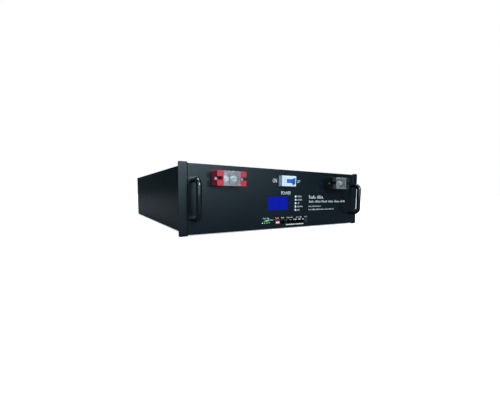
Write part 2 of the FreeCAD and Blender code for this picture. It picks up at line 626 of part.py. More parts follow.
def make_terminal_guard(label, side):
    """The clear cover over a terminal's nuts, hinged at its top edge on two stub pins."""
    x = f"{side} * {TERMINAL_X}"
    half = "(terminal_well / 2 - guard_gap)"
    across = (f"{x} - {half}", f"{x} + {half}")
    front = f"{FACE} - terminal_deep"
    low, high = around(TERMINAL_Z, "terminal_tall")
    pieces = [
        block(label + "_front", across, (front, f"{front} + guard_wall"), (low, high)),
        block(label + "_roof", across, (front, PIVOT_Y), (PIVOT_Z, high)),
        block(label + "_chin", across, (front, f"{front} + guard_lip"), (low, f"{low} + guard_wall")),
        rod(label + "_barrel", "guard_wall", (across[0], PIVOT_Y, PIVOT_Z), f"{half} * 2", "x"),
        rod(label + "_pins", "guard_pin / 2", (f"{across[0]} - guard_pin_reach", PIVOT_Y, PIVOT_Z),
            f"({half} + guard_pin_reach) * 2", "x"),
    ]
    rims = (("top_rim", (f"{high} - guard_rim", high)), ("bottom_rim", (low, f"{low} + guard_rim")))
    for name, span in rims:
        pieces.append(block(f"{label}_{name}", across, (f"{front} - guard_rim / 3", front), span))
    return join(label, *pieces)


def stud_places(side):
    return [(f"{side} * {TERMINAL_X} + {end} * stud_pitch / 2", TERMINAL_Z) for end in (-1, 1)]


def make_studs():
    start = f"{FACE} - stud_reach"
    length = "stud_reach + stud_tail"
    return group("terminal_studs", [
        rod(f"stud_{side}_{i}", "stud_size / 2", (x, start, z), length)
        for side in (-1, 1) for i, (x, z) in enumerate(stud_places(side))])


def make_conductors():
    """A contact plate under the nut of each stud, and a bar behind the panel that joins each pair."""
    plates = []
    floor = f"{FACE} - terminal_floor"
    for side in (-1, 1):
        for i, (x, z) in enumerate(stud_places(side)):
            name = f"plate_{side}_{i}"
            slab = block(name + "_slab", around(x, "plate_wide"), (f"{floor} - plate_thick", floor),
                         around(z, "plate_tall"))
            hole = rod(name + "_hole", "stud_size / 2", (x, f"{floor} - plate_thick", z), "plate_thick")
            plates.append(cut(name, slab, hole))
        plates.append(make_busbar(f"busbar_{side}", side))
    return group("terminal_conductors", plates)


def make_washers():
    washers = []
    top = f"{FACE} - terminal_floor - plate_thick"
    for side in (-1, 1):
        for i, (x, z) in enumerate(stud_places(side)):
            start = (x, f"{top} - washer_thick", z)
            disc = rod(f"washer_{side}_{i}_disc", "washer_size / 2", start, "washer_thick")
            hole = rod(f"washer_{side}_{i}_hole", "stud_size / 2", start, "washer_thick")
            washers.append(cut(f"washer_{side}_{i}", disc, hole))
    return group("terminal_washers", washers)


def make_terminal_nuts():
    """A nut on the front of each stud, and one behind that clamps the busbar."""
    nuts = []
    front = f"{FACE} - terminal_floor - plate_thick - washer_thick - nut_thick"
    rear = f"{FACE} + terminal_boss_deep + busbar_thick"
    for side in (-1, 1):
        for i, (x, z) in enumerate(stud_places(side)):
            for place_name, y in (("front", front), ("rear", rear)):
                name = f"{place_name}_nut_{side}_{i}"
                blank = hexagon(name + "_blank", "nut_flats", (x, y, z), "nut_thick")
                hole = rod(name + "_hole", "stud_size / 2", (x, y, z), "nut_thick")
                nuts.append(cut(name, blank, hole))
    return group("terminal_nuts", nuts)


def make_busbar(label, side):
    """The bar behind the panel that joins a terminal's two studs to its lead."""
    x = f"{side} * {TERMINAL_X}"
    deep = (f"{FACE} + terminal_boss_deep", f"{FACE} + terminal_boss_deep + busbar_thick")
    bar = block(label + "_bar", around(x, "terminal_boss_long"), deep,
                (f"{TERMINAL_Z} - busbar_drop", f"{TERMINAL_Z} + terminal_boss_tall / 2"))
    holes = [rod(f"{label}_hole_{i}", "stud_size / 2", (x_stud, deep[0], z), "busbar_thick")
             for i, (x_stud, z) in enumerate(stud_places(side))]
    return cut(label, bar, *holes)


def make_terminal_screws():
    foot_y = f"{FACE} - terminal_foot"
    return group("terminal_screws", [
        socket_screw(f"terminal_screw_{side}_{end}", "small_screw",
                     (f"{side} * {TERMINAL_X} + {end} * {TERMINAL_SCREW_X}", foot_y, TERMINAL_Z),
                     "terminal_foot + panel_thick + thread_spare")
        for side in (-1, 1) for end in (-1, 1)])


# ---------------------------------------------------------------- circuit breaker

NOSE_FACE = f"({FACE} - nose_deep)"
TOGGLE_Y = f"({NOSE_FACE} + toggle_sink)"


def make_breaker_body():
    """The breaker's case behind the panel, its nose through the panel, and the toggle's slot."""
    body = new_body("breaker_body")
    case = sketch_on(body, "XZ_Plane")
    rectangle(case, around("breaker_x", "breaker_long"), around(BREAKER_Z, "breaker_tall"))
    pad(body, case, "breaker_deep", backwards=True)
    nose = sketch_on(body, "XZ_Plane")
    rectangle(nose, around("breaker_x", "nose_long"), around(BREAKER_Z, "nose_tall"))
    pad(body, nose, "panel_thick + nose_deep")
    front = number(NOSE_FACE)
    soften(body, "nose_edge", lambda edge: abs(edge.CenterOfMass.y - front) < 0.01)
    slot = sketch_on(body, "XZ_Plane", "panel_thick + nose_deep")
    rectangle(slot, around("toggle_x", "breaker_slot_long"), around(BREAKER_Z, "breaker_slot_tall"))
    pocket(body, slot, "toggle_sink + toggle_drum + toggle_gap")
    groove = sketch_on(body, "XZ_Plane", "panel_thick + nose_deep")
    rectangle(groove, around("breaker_x - nose_long / 2 + groove_in", "groove_wide"),
              around(BREAKER_Z, "nose_tall * 1.1"))
    pocket(body, groove, "groove_wide")
    pins = sketch_on(body, "XY_Plane", BREAKER_Z)
    circle(pins, ("toggle_x", TOGGLE_Y), "toggle_pin / 2 + pin_gap")
    pocket(body, pins, "toggle_tall + toggle_pin_reach * 2 + toggle_gap", both_ways=True)
    return body


def make_breaker_toggle():
    """The lever: a drum on two pins, a narrow arm and a wide grip, leaning to the off side."""
    drum = rod("toggle_drum_bar", "toggle_drum", ("0", "0", "-toggle_tall / 2"), "toggle_tall", "z")
    pins = rod("toggle_pins", "toggle_pin / 2", ("0", "0", "-(toggle_tall / 2 + toggle_pin_reach)"),
               "toggle_tall + toggle_pin_reach * 2", "z")
    arm = block("toggle_arm", around("0", "toggle_thick"), ("-toggle_reach + toggle_grip_deep / 2", "0"),
                around("0", "toggle_tall"))
    grip = block("toggle_grip", around("0", "toggle_thick + toggle_grip_more"),
                 ("-toggle_reach", "-toggle_reach + toggle_grip_deep"), around("0", "toggle_grip_tall"))
    grip = rounded("toggle_soft_grip", grip, "toggle_edge", lambda edge: True)
    lever = join("breaker_toggle", drum, pins, arm, grip)
    lever.Placement.Rotation = FreeCAD.Rotation(FreeCAD.Vector(0, 0, 1), number("toggle_angle"))
    return place(lever, ("toggle_x", TOGGLE_Y, BREAKER_Z))


def make_breaker_strap():
    """A folded strip that holds the breaker against the back of the panel."""
    across = around("breaker_x", "strap_wide")
    back = "breaker_deep"
    pieces = [block("strap_back", across, (back, f"{back} + strap_thick"),
                    around(BREAKER_Z, "breaker_tall + strap_thick * 2"))]
    for up in (-1, 1):
        side = "(breaker_tall / 2)"
        foot = "(strap_screw_z + small_screw)"
        legs = [f"{BREAKER_Z} + {up} * {side}", f"{BREAKER_Z} + {up} * ({side} + strap_thick)"]
        feet = [f"{BREAKER_Z} + {up} * {side}", f"{BREAKER_Z} + {up} * {foot}"]
        if up < 0:
            legs.reverse()
            feet.reverse()
        pieces.append(block("strap_leg", across, ("0", back), tuple(legs)))
        pieces.append(block("strap_foot", across, ("0", "strap_thick"), tuple(feet)))
    holes = [rod(f"strap_hole_{up}", "small_screw / 2",
                 ("breaker_x", "0", f"{BREAKER_Z} + {up} * strap_screw_z"), "strap_thick")
             for up in (-1, 1)]
    return cut("breaker_strap", join("strap_strip", *pieces), *holes)


def make_breaker_screws():
    return group("breaker_screws", [
        socket_screw(f"breaker_screw_{up}", "small_screw",
                     ("breaker_x", FACE, f"{BREAKER_Z} + {up} * strap_screw_z"),
                     "panel_thick + strap_thick + thread_spare") for up in (-1, 1)])


# ---------------------------------------------------------------- display and menu buttons

def make_display_glass():
    return block("display_glass", around("display_x", "display_wide - cutout_gap * 2"),
                 ("-glass_thick", "0"),
                 around(DISPLAY_Z, "display_tall - cutout_gap * 2"))


def make_display_module():
    """The display's carrier behind the panel, larger than the window all round."""
    return block("display_module", around("display_x", "display_wide + display_rim * 2"),
                 ("0", "display_deep"),
                 around(DISPLAY_Z, "display_tall + display_rim * 2"))


def button_height(i):
    return f"{DISPLAY_Z} + {2 - i} * button_pitch"


def make_menu_button(label, i):
    """A round cap with a collar that keeps it behind the panel, and a stem for its switch."""
    front = f"{FACE} - button_proud"
    spot = ("button_x", front, button_height(i))
    cap = rod(label + "_cap", "button_size / 2", spot, "button_proud + panel_thick + button_back")
    cap = rounded(label + "_soft_cap", cap, "button_edge",
                  lambda edge: edge.CenterOfMass.y < number(front) + 0.01)
    collar = rod(label + "_collar", "button_collar / 2", ("button_x", "button_back", button_height(i)),
                 "button_flange")
    stem = rod(label + "_stem", "button_size / 3", ("button_x", "button_back", button_height(i)),
               "button_stem")
    return join(label, cap, collar, stem)


SWITCH_FRONT = "(button_back + button_stem + button_travel + button_rest)"


def make_button_board():
    """The board behind the menu buttons, on two posts, with five switches soldered to it."""
    switches = [block(f"button_switch_{i}", around("button_x", "tact_size"),
                      (SWITCH_FRONT, f"{SWITCH_FRONT} + tact_tall"), around(button_height(i), "tact_size"))
                for i in range(len(MENU_BUTTONS))]
    back = f"{SWITCH_FRONT} + tact_tall"
    half = f"(button_pitch * {len(MENU_BUTTONS)} + tact_size) / 2"
    board = block("button_board_sheet", around("button_x", "tact_size * 2.2"),
                  (back, f"{back} + board_thick"), around(DISPLAY_Z, f"{half} * 2"))
    posts = [rod(f"button_board_post_{up}", "button_post / 2",
                 ("button_x", "0", f"{DISPLAY_Z} + {up} * ({half} - button_post / 2)"), back)
             for up in (-1, 1)]
    return join("button_board", board, *switches, *posts)


# ---------------------------------------------------------------- row of ports

PORT_FACE = f"({FACE} - port_proud)"


def make_port_board():
    return block("port_board", around("0", "port_board_wide"), ("board_front", "board_deep"),
                 (f"{ROW_BOARD_Z} - board_thick", ROW_BOARD_Z))


def make_lamp(name, i):
    """A round lamp through the panel, on a foot that stands on the port board."""
    x = f"lamp_x + {i} * lamp_pitch"
    front = f"{FACE} - lamp_proud"
    lens = rod(name + "_lens", "lamp_size / 2", (x, front, LAMP_Z), "lamp_proud + panel_thick + lamp_foot")
    lens = rounded(name + "_dome", lens, "lamp_size * 0.3",
                   lambda edge: edge.CenterOfMass.y < number(front) + 0.01)
    foot = block(name + "_foot", around(x, "lamp_size * 1.3"), ("lamp_foot / 2", "lamp_foot * 1.5"),
                 (ROW_BOARD_Z, f"{LAMP_Z} + lamp_size / 2"))
    return join(name, lens, foot)


def make_dip_housing():
    """The block of small switches, with a slot for each slider and a foot on the port board."""
    body = new_body("dip_switch_housing")
    face = sketch_on(body, "XZ_Plane", "panel_thick + port_proud")
    rectangle(face, around("dip_x", "dip_wide"), around(DIP_Z, "dip_tall"))
    pad(body, face, "panel_thick + port_proud + dip_back", backwards=True)
    foot = sketch_on(body, "XZ_Plane", "-board_front")
    rectangle(foot, around("dip_x", "dip_wide"), (ROW_BOARD_Z, DIP_Z))
    pad(body, foot, "dip_back - board_front", backwards=True)
    slots = sketch_on(body, "XZ_Plane", "panel_thick + port_proud")
    for i in range(len(DIP_SLIDERS)):
        rectangle(slots, around(slider_x(i), "dip_slot_wide"), around(DIP_Z, "dip_slot_tall"))
    pocket(body, slots, "slider_sink + slider_gap")
    return body


def slider_x(i):
    return f"dip_x + ({i} - 1.5) * dip_pitch"


def make_dip_slider(label, i):
    """One slider, resting at the lower end of its slot."""
    low = f"{DIP_Z} - dip_slot_tall / 2 + slider_gap"
    return block(label, around(slider_x(i), "slider_wide"), (f"{PORT_FACE} - slider_proud",
                 f"{PORT_FACE} + slider_sink"), (low, f"{low} + slider_tall"))


def socket_outline(sketch, x, low, wide, tall, latch_wide, latch_tall):
    """A plug socket: a rectangle with a narrower notch for the plug's latch above it."""
    left, right = around(x, wide)
    latch_left, latch_right = around(x, latch_wide)
    high = f"{low} + {tall}"
    top = f"{high} + {latch_tall}"
    outline(sketch, [(left, low), (right, low), (right, high), (latch_right, high), (latch_right, top),
                     (latch_left, top), (latch_left, high), (left, high)])


def make_data_port():
    body = new_body("data_port")
    face = sketch_on(body, "XZ_Plane", "panel_thick + port_proud")
    rectangle(face, around("data_x", "data_wide"), around(DATA_Z, "data_tall"))
    pad(body, face, "data_deep", backwards=True)
    foot = sketch_on(body, "XZ_Plane", "-board_front")
    rectangle(foot, around("data_x", "data_wide"), (ROW_BOARD_Z, DATA_Z))
    pad(body, foot, "data_deep - panel_thick - port_proud - board_front", backwards=True)
    sockets = sketch_on(body, "XZ_Plane", "panel_thick + port_proud")
    socket_outline(sockets, "data_x", f"{DATA_Z} - data_tall / 2 + data_sill", "plug_wide", "plug_tall",
                   "plug_latch_wide", "plug_latch_tall")
    pocket(body, sockets, "data_deep - data_wall")
    return body


def jack_x(side):
    return f"jack_x + {side} * jack_pitch / 2"


def make_network_jack(label, side):
    """Two network sockets in one shield, with a lamp window at both upper corners of each."""
    body = new_body(label)
    face = sketch_on(body, "XZ_Plane", "panel_thick + port_proud")
    rectangle(face, around(jack_x(side), "jack_wide"), around(JACK_Z, "jack_tall"))
    pad(body, face, "jack_deep", backwards=True)
    sockets = sketch_on(body, "XZ_Plane", "panel_thick + port_proud")
    low = f"{JACK_Z} - jack_tall / 2 + socket_sill"
    for end in (-1, 1):
        socket_outline(sockets, f"{jack_x(side)} + {end} * socket_pitch / 2", low, "socket_wide",
                       "socket_tall", "latch_wide", "latch_tall")
    pocket(body, sockets, "socket_deep")
    windows = sketch_on(body, "XZ_Plane", "panel_thick + port_proud")
    for x, z in port_lamp_places(side):
        rectangle(windows, around(x, "port_lamp_wide"), around(z, "port_lamp_tall"))
    pocket(body, windows, "port_lamp_deep")
    return body


def port_lamp_places(side):
    z = f"{JACK_Z} + jack_tall / 2 - port_lamp_tall"
    return [(f"{jack_x(side)} + {end} * socket_pitch / 2 + {corner} * port_lamp_out", z)
            for end in (-1, 1) for corner in (-1, 1)]


def make_port_lamps():
    return group("port_lamps", [
        block(f"port_lamp_{side}_{i}", around(x, "port_lamp_wide"),
              (PORT_FACE, f"{PORT_FACE} + port_lamp_deep"), around(z, "port_lamp_tall"))
        for side in (-1, 1) for i, (x, z) in enumerate(port_lamp_places(side))])


def make_switch_bezel():
    """The power button's housing: a flange on the panel and a threaded barrel through it."""
    spot = ("switch_x", f"{FACE} - switch_flange", SWITCH_Z)
    flange = rod("switch_flange_disc", "switch_bezel / 2", spot, "switch_flange")
    flange = rounded("switch_soft_flange", flange, "switch_flange / 2",
                     lambda edge: edge.CenterOfMass.y < number(spot[1]) + 0.01)
    barrel = rod("switch_barrel_bar", "switch_barrel / 2", ("switch_x", FACE, SWITCH_Z),
                 "panel_thick + switch_deep")
    seat = rod("switch_seat", "switch_ring / 2", spot, "switch_flange + switch_ring_sink")
    bore = rod("switch_bore", "switch_cap / 2 + button_play", spot,
               "switch_flange + panel_thick + switch_deep - switch_floor")
    return cut("power_button_bezel", join("switch_housing", flange, barrel), seat, bore)


def make_switch_ring():
    start = ("switch_x", f"{FACE} - switch_flange", SWITCH_Z)
    disc = rod("ring_disc", "switch_ring / 2", start, "switch_flange + switch_ring_sink")
    hole = rod("ring_hole", "switch_cap / 2 + button_play", start, "switch_flange + switch_ring_sink")
    return cut("power_button_ring", disc, hole)


def make_power_button():
    front = f"{FACE} - switch_flange - switch_proud"
    housing = "switch_flange + panel_thick + switch_deep - switch_floor"
    cap = rod("power_button_cap", "switch_cap / 2", ("switch_x", front, SWITCH_Z),
              f"switch_proud + {housing} - switch_travel - switch_rest")
    return rounded("power_button", cap, "button_edge",
                   lambda edge: edge.CenterOfMass.y < number(front) + 0.01)


def make_switch_nut():
    start = ("switch_x", "0", SWITCH_Z)
    blank = hexagon("switch_nut_blank", "switch_nut_flats", start, "switch_nut_thick")
    hole = rod("switch_nut_hole", "switch_barrel / 2", start, "switch_nut_thick")
    return cut("power_button_nut", blank, hole)


# ---------------------------------------------------------------- cells

CELL_FOOT = f"({FOOT} + wall + pad_thick)"
CELL_TALL = f"({BODY_HEIGHT} - wall * 2 - pad_thick - cell_top_gap)"
CELL_TOP = f"({CELL_FOOT} + {CELL_TALL})"
ROW_SPAN = f"({BODY_WIDTH} - (wall + channel_wide + end_plate) * 2)"
CELL_THICK = f"(({ROW_SPAN} - cell_gap * {CELLS_PER_ROW - 1}) / {CELLS_PER_ROW})"
CELL_PITCH = f"({CELL_THICK} + cell_gap)"
CELL_LONG = f"(({BACK} - wall - cell_back_gap - row_gap - front_bay) / 2)"
POST_OUT = f"({CELL_LONG} / 2 - post_in)"
CHANNEL_X = f"({SIDE} - wall - channel_wide / 2)"


def cell_x(i):
    return f"({i} - {(CELLS_PER_ROW - 1) / 2}) * {CELL_PITCH}"


def row_y(row):
    """The middle of the front row, 0, or of the rear row, 1."""
    return f"({BACK} - wall - cell_back_gap - {CELL_LONG} / 2 - {1 - row} * ({CELL_LONG} + row_gap))"


def make_cell(name, i, row):
    """One prismatic cell: a can with rounded upright edges and two terminal posts."""
    can = block(name + "_block", around(cell_x(i), CELL_THICK), around(row_y(row), CELL_LONG),
                (CELL_FOOT, CELL_TOP))
    can = rounded(name + "_can", can, "cell_corner", lambda edge: runs_along(edge, "z"))
    posts = [rod(f"{name}_post_{end}", "post_size / 2", (cell_x(i), f"{row_y(row)} + {end} * {POST_OUT}",
                 CELL_TOP), "post_tall", "z") for end in (-1, 1)]
    return join(name, can, *posts)


def make_cell_row(label, row):
    return group(label, [make_cell(f"{label}_{i}", i, row) for i in range(CELLS_PER_ROW)])


def make_cell_spacers():
    return group("cell_spacers", [
        block(f"spacer_{row}_{i}", around(f"({cell_x(i)} + {CELL_PITCH} / 2)", "cell_gap"),
              around(row_y(row), CELL_LONG), (CELL_FOOT, CELL_TOP))
        for row in (0, 1) for i in range(CELLS_PER_ROW - 1)])


def make_end_plates():
    plates = []
    for row in (0, 1):
        for name, low, high in (("left", f"-{ROW_SPAN} / 2 - end_plate", f"-{ROW_SPAN} / 2"),
                                ("right", f"{ROW_SPAN} / 2", f"{ROW_SPAN} / 2 + end_plate")):
            plates.append(block(f"{name}_plate_{row}", (low, high), around(row_y(row), CELL_LONG),
                                (CELL_FOOT, CELL_TOP)))
    return group("cell_end_plates", plates)


def make_bands():
    """Steel bands round each row of cells and its end plates."""
    bands = []
    for row in (0, 1):
        for level, share in (("low", 0.3), ("high", 0.7)):
            middle = f"{CELL_FOOT} + {CELL_TALL} * {share}"
            inner = (around("0", f"{ROW_SPAN} + end_plate * 2"), around(row_y(row), CELL_LONG))
            outer = (around("0", f"{ROW_SPAN} + (end_plate + band_thick) * 2"),
                     around(row_y(row), f"{CELL_LONG} + band_thick * 2"))
            name = f"band_{row}_{level}"
            bands.append(cut(name, block(name + "_outer", *outer, around(middle, "band_tall")),
                             block(name + "_inner", *inner, around(middle, "band_tall * 1.1"))))
    return group("cell_bands", bands)


def main_posts():
    """Where the pack's positive and negative ends are: the right-hand cells, between the rows."""
    return [f"{row_y(0)} + {POST_OUT}", f"{row_y(1)} - {POST_OUT}"]


def make_cell_links():
    """Copper links that put the cells in series, at the front and back ends in turn.

    The last two are lugs on the pack's end posts, which reach out over the channel beside the cells.
    """
    top = f"({CELL_TOP} + post_tall)"
    tall = (top, f"{top} + link_thick")
    links = []
    for row in (0, 1):
        for step in range(CELLS_PER_ROW - 1):
            i = CELLS_PER_ROW - 2 - step
            end = -1 if (step % 2 == 0) == (row == 0) else 1
            links.append(block(f"link_{row}_{step}", around(f"({cell_x(i)} + {CELL_PITCH} / 2)",
                               f"{CELL_PITCH} + post_size + link_spare"),
                               around(f"{row_y(row)} + {end} * {POST_OUT}", "link_wide"), tall))
    deep = (f"{row_y(0)} + {POST_OUT} - link_wide / 2", f"{row_y(1)} - {POST_OUT} + link_wide / 2")
    links.append(block("link_across", around(cell_x(0), "link_wide"), deep, tall))
    last = cell_x(CELLS_PER_ROW - 1)
    links += [block(f"main_lug_{i}", (f"{last} - post_size / 2", f"{CHANNEL_X} + lead_size / 2"),
                    around(y, "post_size"), tall) for i, y in enumerate(main_posts())]
    return group("cell_links", links)


def make_cell_pad():
    """The insulating pad that both rows of cells stand on."""
    floor = f"{FOOT} + wall"
    return block("cell_pad", around("0", f"{ROW_SPAN} + end_plate * 2"),
                 (f"{row_y(0)} - {CELL_LONG} / 2", f"{row_y(1)} + {CELL_LONG} / 2"), (floor, CELL_FOOT))


# ---------------------------------------------------------------- battery management board

BOARD_Z = f"({FOOT} + wall + bms_lift)"
BOARD_TOP = f"({BOARD_Z} + board_thick)"
BOARD_TERMINAL_X = "(bms_x + bms_wide / 2 - board_terminal)"
SINK_X = "(bms_x - sink_left)"


def make_bms_board():
    return block("management_board", around("bms_x", "bms_wide"), around("bms_y", "bms_deep"),
                 (BOARD_Z, BOARD_TOP))


def make_board_posts():
    """Brass posts under the management board and the port board, and the leads' two terminals."""
    floor = f"{FOOT} + wall"
    radius = "standoff_size / 2"
    posts = [rod(f"bms_post_{x}_{y}", radius, (f"bms_x + {x} * (bms_wide / 2 - standoff_in)",
                 f"bms_y + {y} * (bms_deep / 2 - standoff_in)", floor), "bms_lift", "z")
             for x in (-1, 1) for y in (-1, 1)]
    posts += [rod(f"port_post_{x}", radius, (f"{x} * (port_board_wide / 2 - port_standoff_in)",
                  "board_deep - port_standoff_in", floor),
                  f"{ROW_BOARD_Z} - board_thick - ({floor})", "z") for x in (-1, 1)]
    posts += [block(f"board_terminal_{i}", around(BOARD_TERMINAL_X, "board_terminal"),
                    around(f"bms_y + {i} * board_terminal_y", "board_terminal"),
                    (BOARD_TOP, f"{BOARD_TOP} + board_terminal_tall")) for i in (-1, 1)]
    return group("board_posts", posts)


def make_power_chips():
    middle = (CHIPS_PER_ROW - 1) / 2
    return group("power_transistors", [
        block(f"chip_{row}_{i}", around(f"{SINK_X} + ({i} - {middle}) * chip_pitch", "chip_wide"),
              around(f"bms_y + {row} * chip_pitch", "chip_deep"), (BOARD_TOP, f"{BOARD_TOP} + chip_tall"))
        for row in (-1, 1) for i in range(CHIPS_PER_ROW)])


def make_heat_sink():
    """An extruded sink on the transistors: a base with a row of fins."""
    body = new_body("heat_sink")
    base_z = f"{BOARD_TOP} + chip_tall"
    base = sketch_on(body, "XZ_Plane", "-(bms_y + sink_deep / 2)")
    rectangle(base, around(SINK_X, "sink_wide"), (base_z, f"{base_z} + sink_base"))
    pad(body, base, "sink_deep")
    fin = sketch_on(body, "XZ_Plane", "-(bms_y + sink_deep / 2)")
    left = f"{SINK_X} - sink_wide / 2"
    rectangle(fin, (left, f"{left} + fin_thick"), (f"{base_z} + sink_base", f"{base_z} + sink_tall"))
    first = pad(body, fin, "sink_deep")
    row = body.newObject("PartDesign::LinearPattern", "fins")
    row.Originals = [first]
    axis = [feature for feature in body.Origin.OriginFeatures if feature.Role == "X_Axis"][0]
    row.Direction = (axis, [""])
    row.setExpression("Length", formula("sink_wide - fin_thick"))
    row.Occurrences = FINS
    body.Tip = row
    return body


def lead_route(points):
    """A path of straight runs with an arc at each corner, as large as the shorter run allows."""
    edges = []
    start = points[0]
    for before, corner, after in zip(points, points[1:], points[2:]):
        arriving = (corner - before).normalize()
        leaving = (after - corner).normalize()
        tangent = 0.45 * min((corner - before).Length, (after - corner).Length)
        half_turn = arriving.getAngle(leaving) / 2
        radius = tangent / math.tan(half_turn)
        bisector = (leaving - arriving).normalize()
        middle = corner + bisector * (radius / math.cos(half_turn) - radius)
        enter, leave = corner - arriving * tangent, corner + leaving * tangent
        edges.append(Part.LineSegment(start, enter).toShape())
        edges.append(Part.Arc(enter, middle, leave).toShape())
        start = leave
    edges.append(Part.LineSegment(start, points[-1]).toShape())
    return Part.Wire(edges)


def make_lead(label, points):
    """A round cable along a route of formulas."""
    spots = [FreeCAD.Vector(*(number(part) for part in point)) for point in points]
    path = lead_route(spots)
    heading = (spots[1] - spots[0]).normalize()
    section = Part.Wire([Part.Circle(spots[0], heading, number("lead_size / 2")).toShape()])
    lead = doc.addObject("Part::Feature", label)
    lead.Shape = path.makePipeShell([section], True, False)
    lead.Placement = FreeCAD.Placement()
    area = math.pi * number("lead_size / 2") ** 2
    if abs(lead.Shape.Volume / (area * path.Length) - 1) > 0.01:
        raise RuntimeError(f"{label}: the cable's volume is not its section times its length")
    return lead


LUG_Z = f"({CELL_TOP} + post_tall)"
TAIL_Z = f"({TERMINAL_Z} - busbar_drop + tail_up)"
TAIL_Y = f"({FACE} + terminal_boss_deep + busbar_thick)"


def make_leads():
    """The four power leads: pack to breaker to positive terminal, and pack to board to negative one."""
    front_post, rear_post = main_posts()
    breaker_right = "breaker_x + breaker_long / 2"
    breaker_left = "breaker_x - breaker_long / 2"
    board_right = f"{BOARD_TERMINAL_X} + board_terminal / 2"
    lead_z = f"{BOARD_TOP} + board_terminal_tall / 2"
    near_y, far_y = "bms_y - board_terminal_y", "bms_y + board_terminal_y"
    positive = [
        make_lead("pack_positive_lead", [
            (CHANNEL_X, front_post, LUG_Z), (CHANNEL_X, front_post, f"{BREAKER_Z} - 14"),
            (CHANNEL_X, "front_bay - 20", f"{BREAKER_Z} - 9"), (CHANNEL_X, "70", f"{BREAKER_Z} - 9"),
            (TERMINAL_X, "breaker_terminal_y", BREAKER_Z),
            (breaker_right, "breaker_terminal_y", BREAKER_Z)]),
        make_lead("breaker_lead", [
            (breaker_left, "breaker_terminal_y", BREAKER_Z), ("-95", "breaker_terminal_y", BREAKER_Z),
            (f"-{TERMINAL_X}", "44", TAIL_Z), (f"-{TERMINAL_X}", TAIL_Y, TAIL_Z)]),
    ]
    negative = [
        make_lead("pack_negative_lead", [
            (CHANNEL_X, rear_post, LUG_Z), (CHANNEL_X, rear_post, "0"),
            (CHANNEL_X, f"{rear_post} - 125", "-10"), (CHANNEL_X, far_y, "-20"),
            ("165", far_y, lead_z), (board_right, far_y, lead_z)]),
        make_lead("board_lead", [
            (board_right, near_y, lead_z), (TERMINAL_X, near_y, lead_z), (TERMINAL_X, "90", TAIL_Z),
            (TERMINAL_X, TAIL_Y, TAIL_Z)]),
    ]
    return [group("positive_leads", positive), group("negative_leads", negative)]


# ---------------------------------------------------------------- the whole battery

def make_everything():
    parts = [
        make_base_tray(), make_top_cover(), make_case_screws(),
        make_rear_panel(), make_rear_screws(), make_front_panel(),
        make_rack_ear("left_rack_ear", -1), make_rack_ear("right_rack_ear", 1), make_ear_screws(),
        make_handle("left_handle", -1), make_handle("right_handle", 1), make_handle_screws(),
        make_studs(), make_conductors(), make_washers(), make_terminal_nuts(), make_terminal_screws(),
        make_breaker_body(), make_breaker_toggle(), make_breaker_strap(), make_breaker_screws(),
        make_display_glass(), make_display_module(),
        group("control_boards", [make_button_board(), make_port_board()]),
        make_dip_housing(), make_data_port(), make_port_lamps(),
        group("network_jacks", [make_network_jack("left_jack", -1), make_network_jack("right_jack", 1)]),
        make_switch_bezel(), make_switch_ring(), make_power_button(), make_switch_nut(),
        make_cell_row("front_cells", 0), make_cell_row("rear_cells", 1), make_cell_spacers(),
        make_end_plates(), make_bands(), make_cell_links(), make_cell_pad(),
        make_bms_board(), make_board_posts(), make_power_chips(), make_heat_sink(),
    ]
    for word, side in (("positive", -1), ("negative", 1)):
        parts.append(make_terminal_base(word + "_terminal_base", side))
        parts.append(make_terminal_guard(word + "_terminal_guard", side))
    parts += [make_menu_button(label, i) for i, label in enumerate(MENU_BUTTONS)]
    parts += [make_dip_slider(label, i) for i, label in enumerate(DIP_SLIDERS)]
    lamps = [make_lamp(f"lamp_{i}", i) for i in range(4)]
    parts += [group("run_lamp", lamps[:1]), group("charge_lamps", lamps[1:])]
    return parts + make_leads()


def check(parts):
    """Stop if any object failed, or if a sub-part has no sound shape."""
    doc.recompute()
    failed = [thing.Name for thing in doc.Objects if {"Invalid", "Error"} & set(thing.State)]
    if failed:
        raise RuntimeError(f"failed objects: {failed}")
    for part in parts:
        if part.Shape.isNull() or not part.Shape.isValid() or not part.Shape.Solids:
            raise RuntimeError(f"{part.Label} has no sound shape")


def write(parts):
    os.makedirs("parts", exist_ok=True)
    for part in parts:
        part.Shape.exportStep(f"parts/{part.Label}.step")
    print(len(parts), "sub-parts written")


fill_sheet()
everything = make_everything()
check(everything)
write(everything)
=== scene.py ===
# %% [markdown]
# This lesson dresses a rack battery: a black sheet-steel box with two handles, guarded terminals, a
# breaker, a display and a row of sockets. The design model brings every piece at its true size and
# place, and this script gives the pieces soft edges, real finishes and the fine detail that a design
# model leaves out. We begin by loading the design and noting its box, because nothing may outgrow it.

# %% Load the design
import json
import math

import bpy
from mathutils import Matrix, Vector


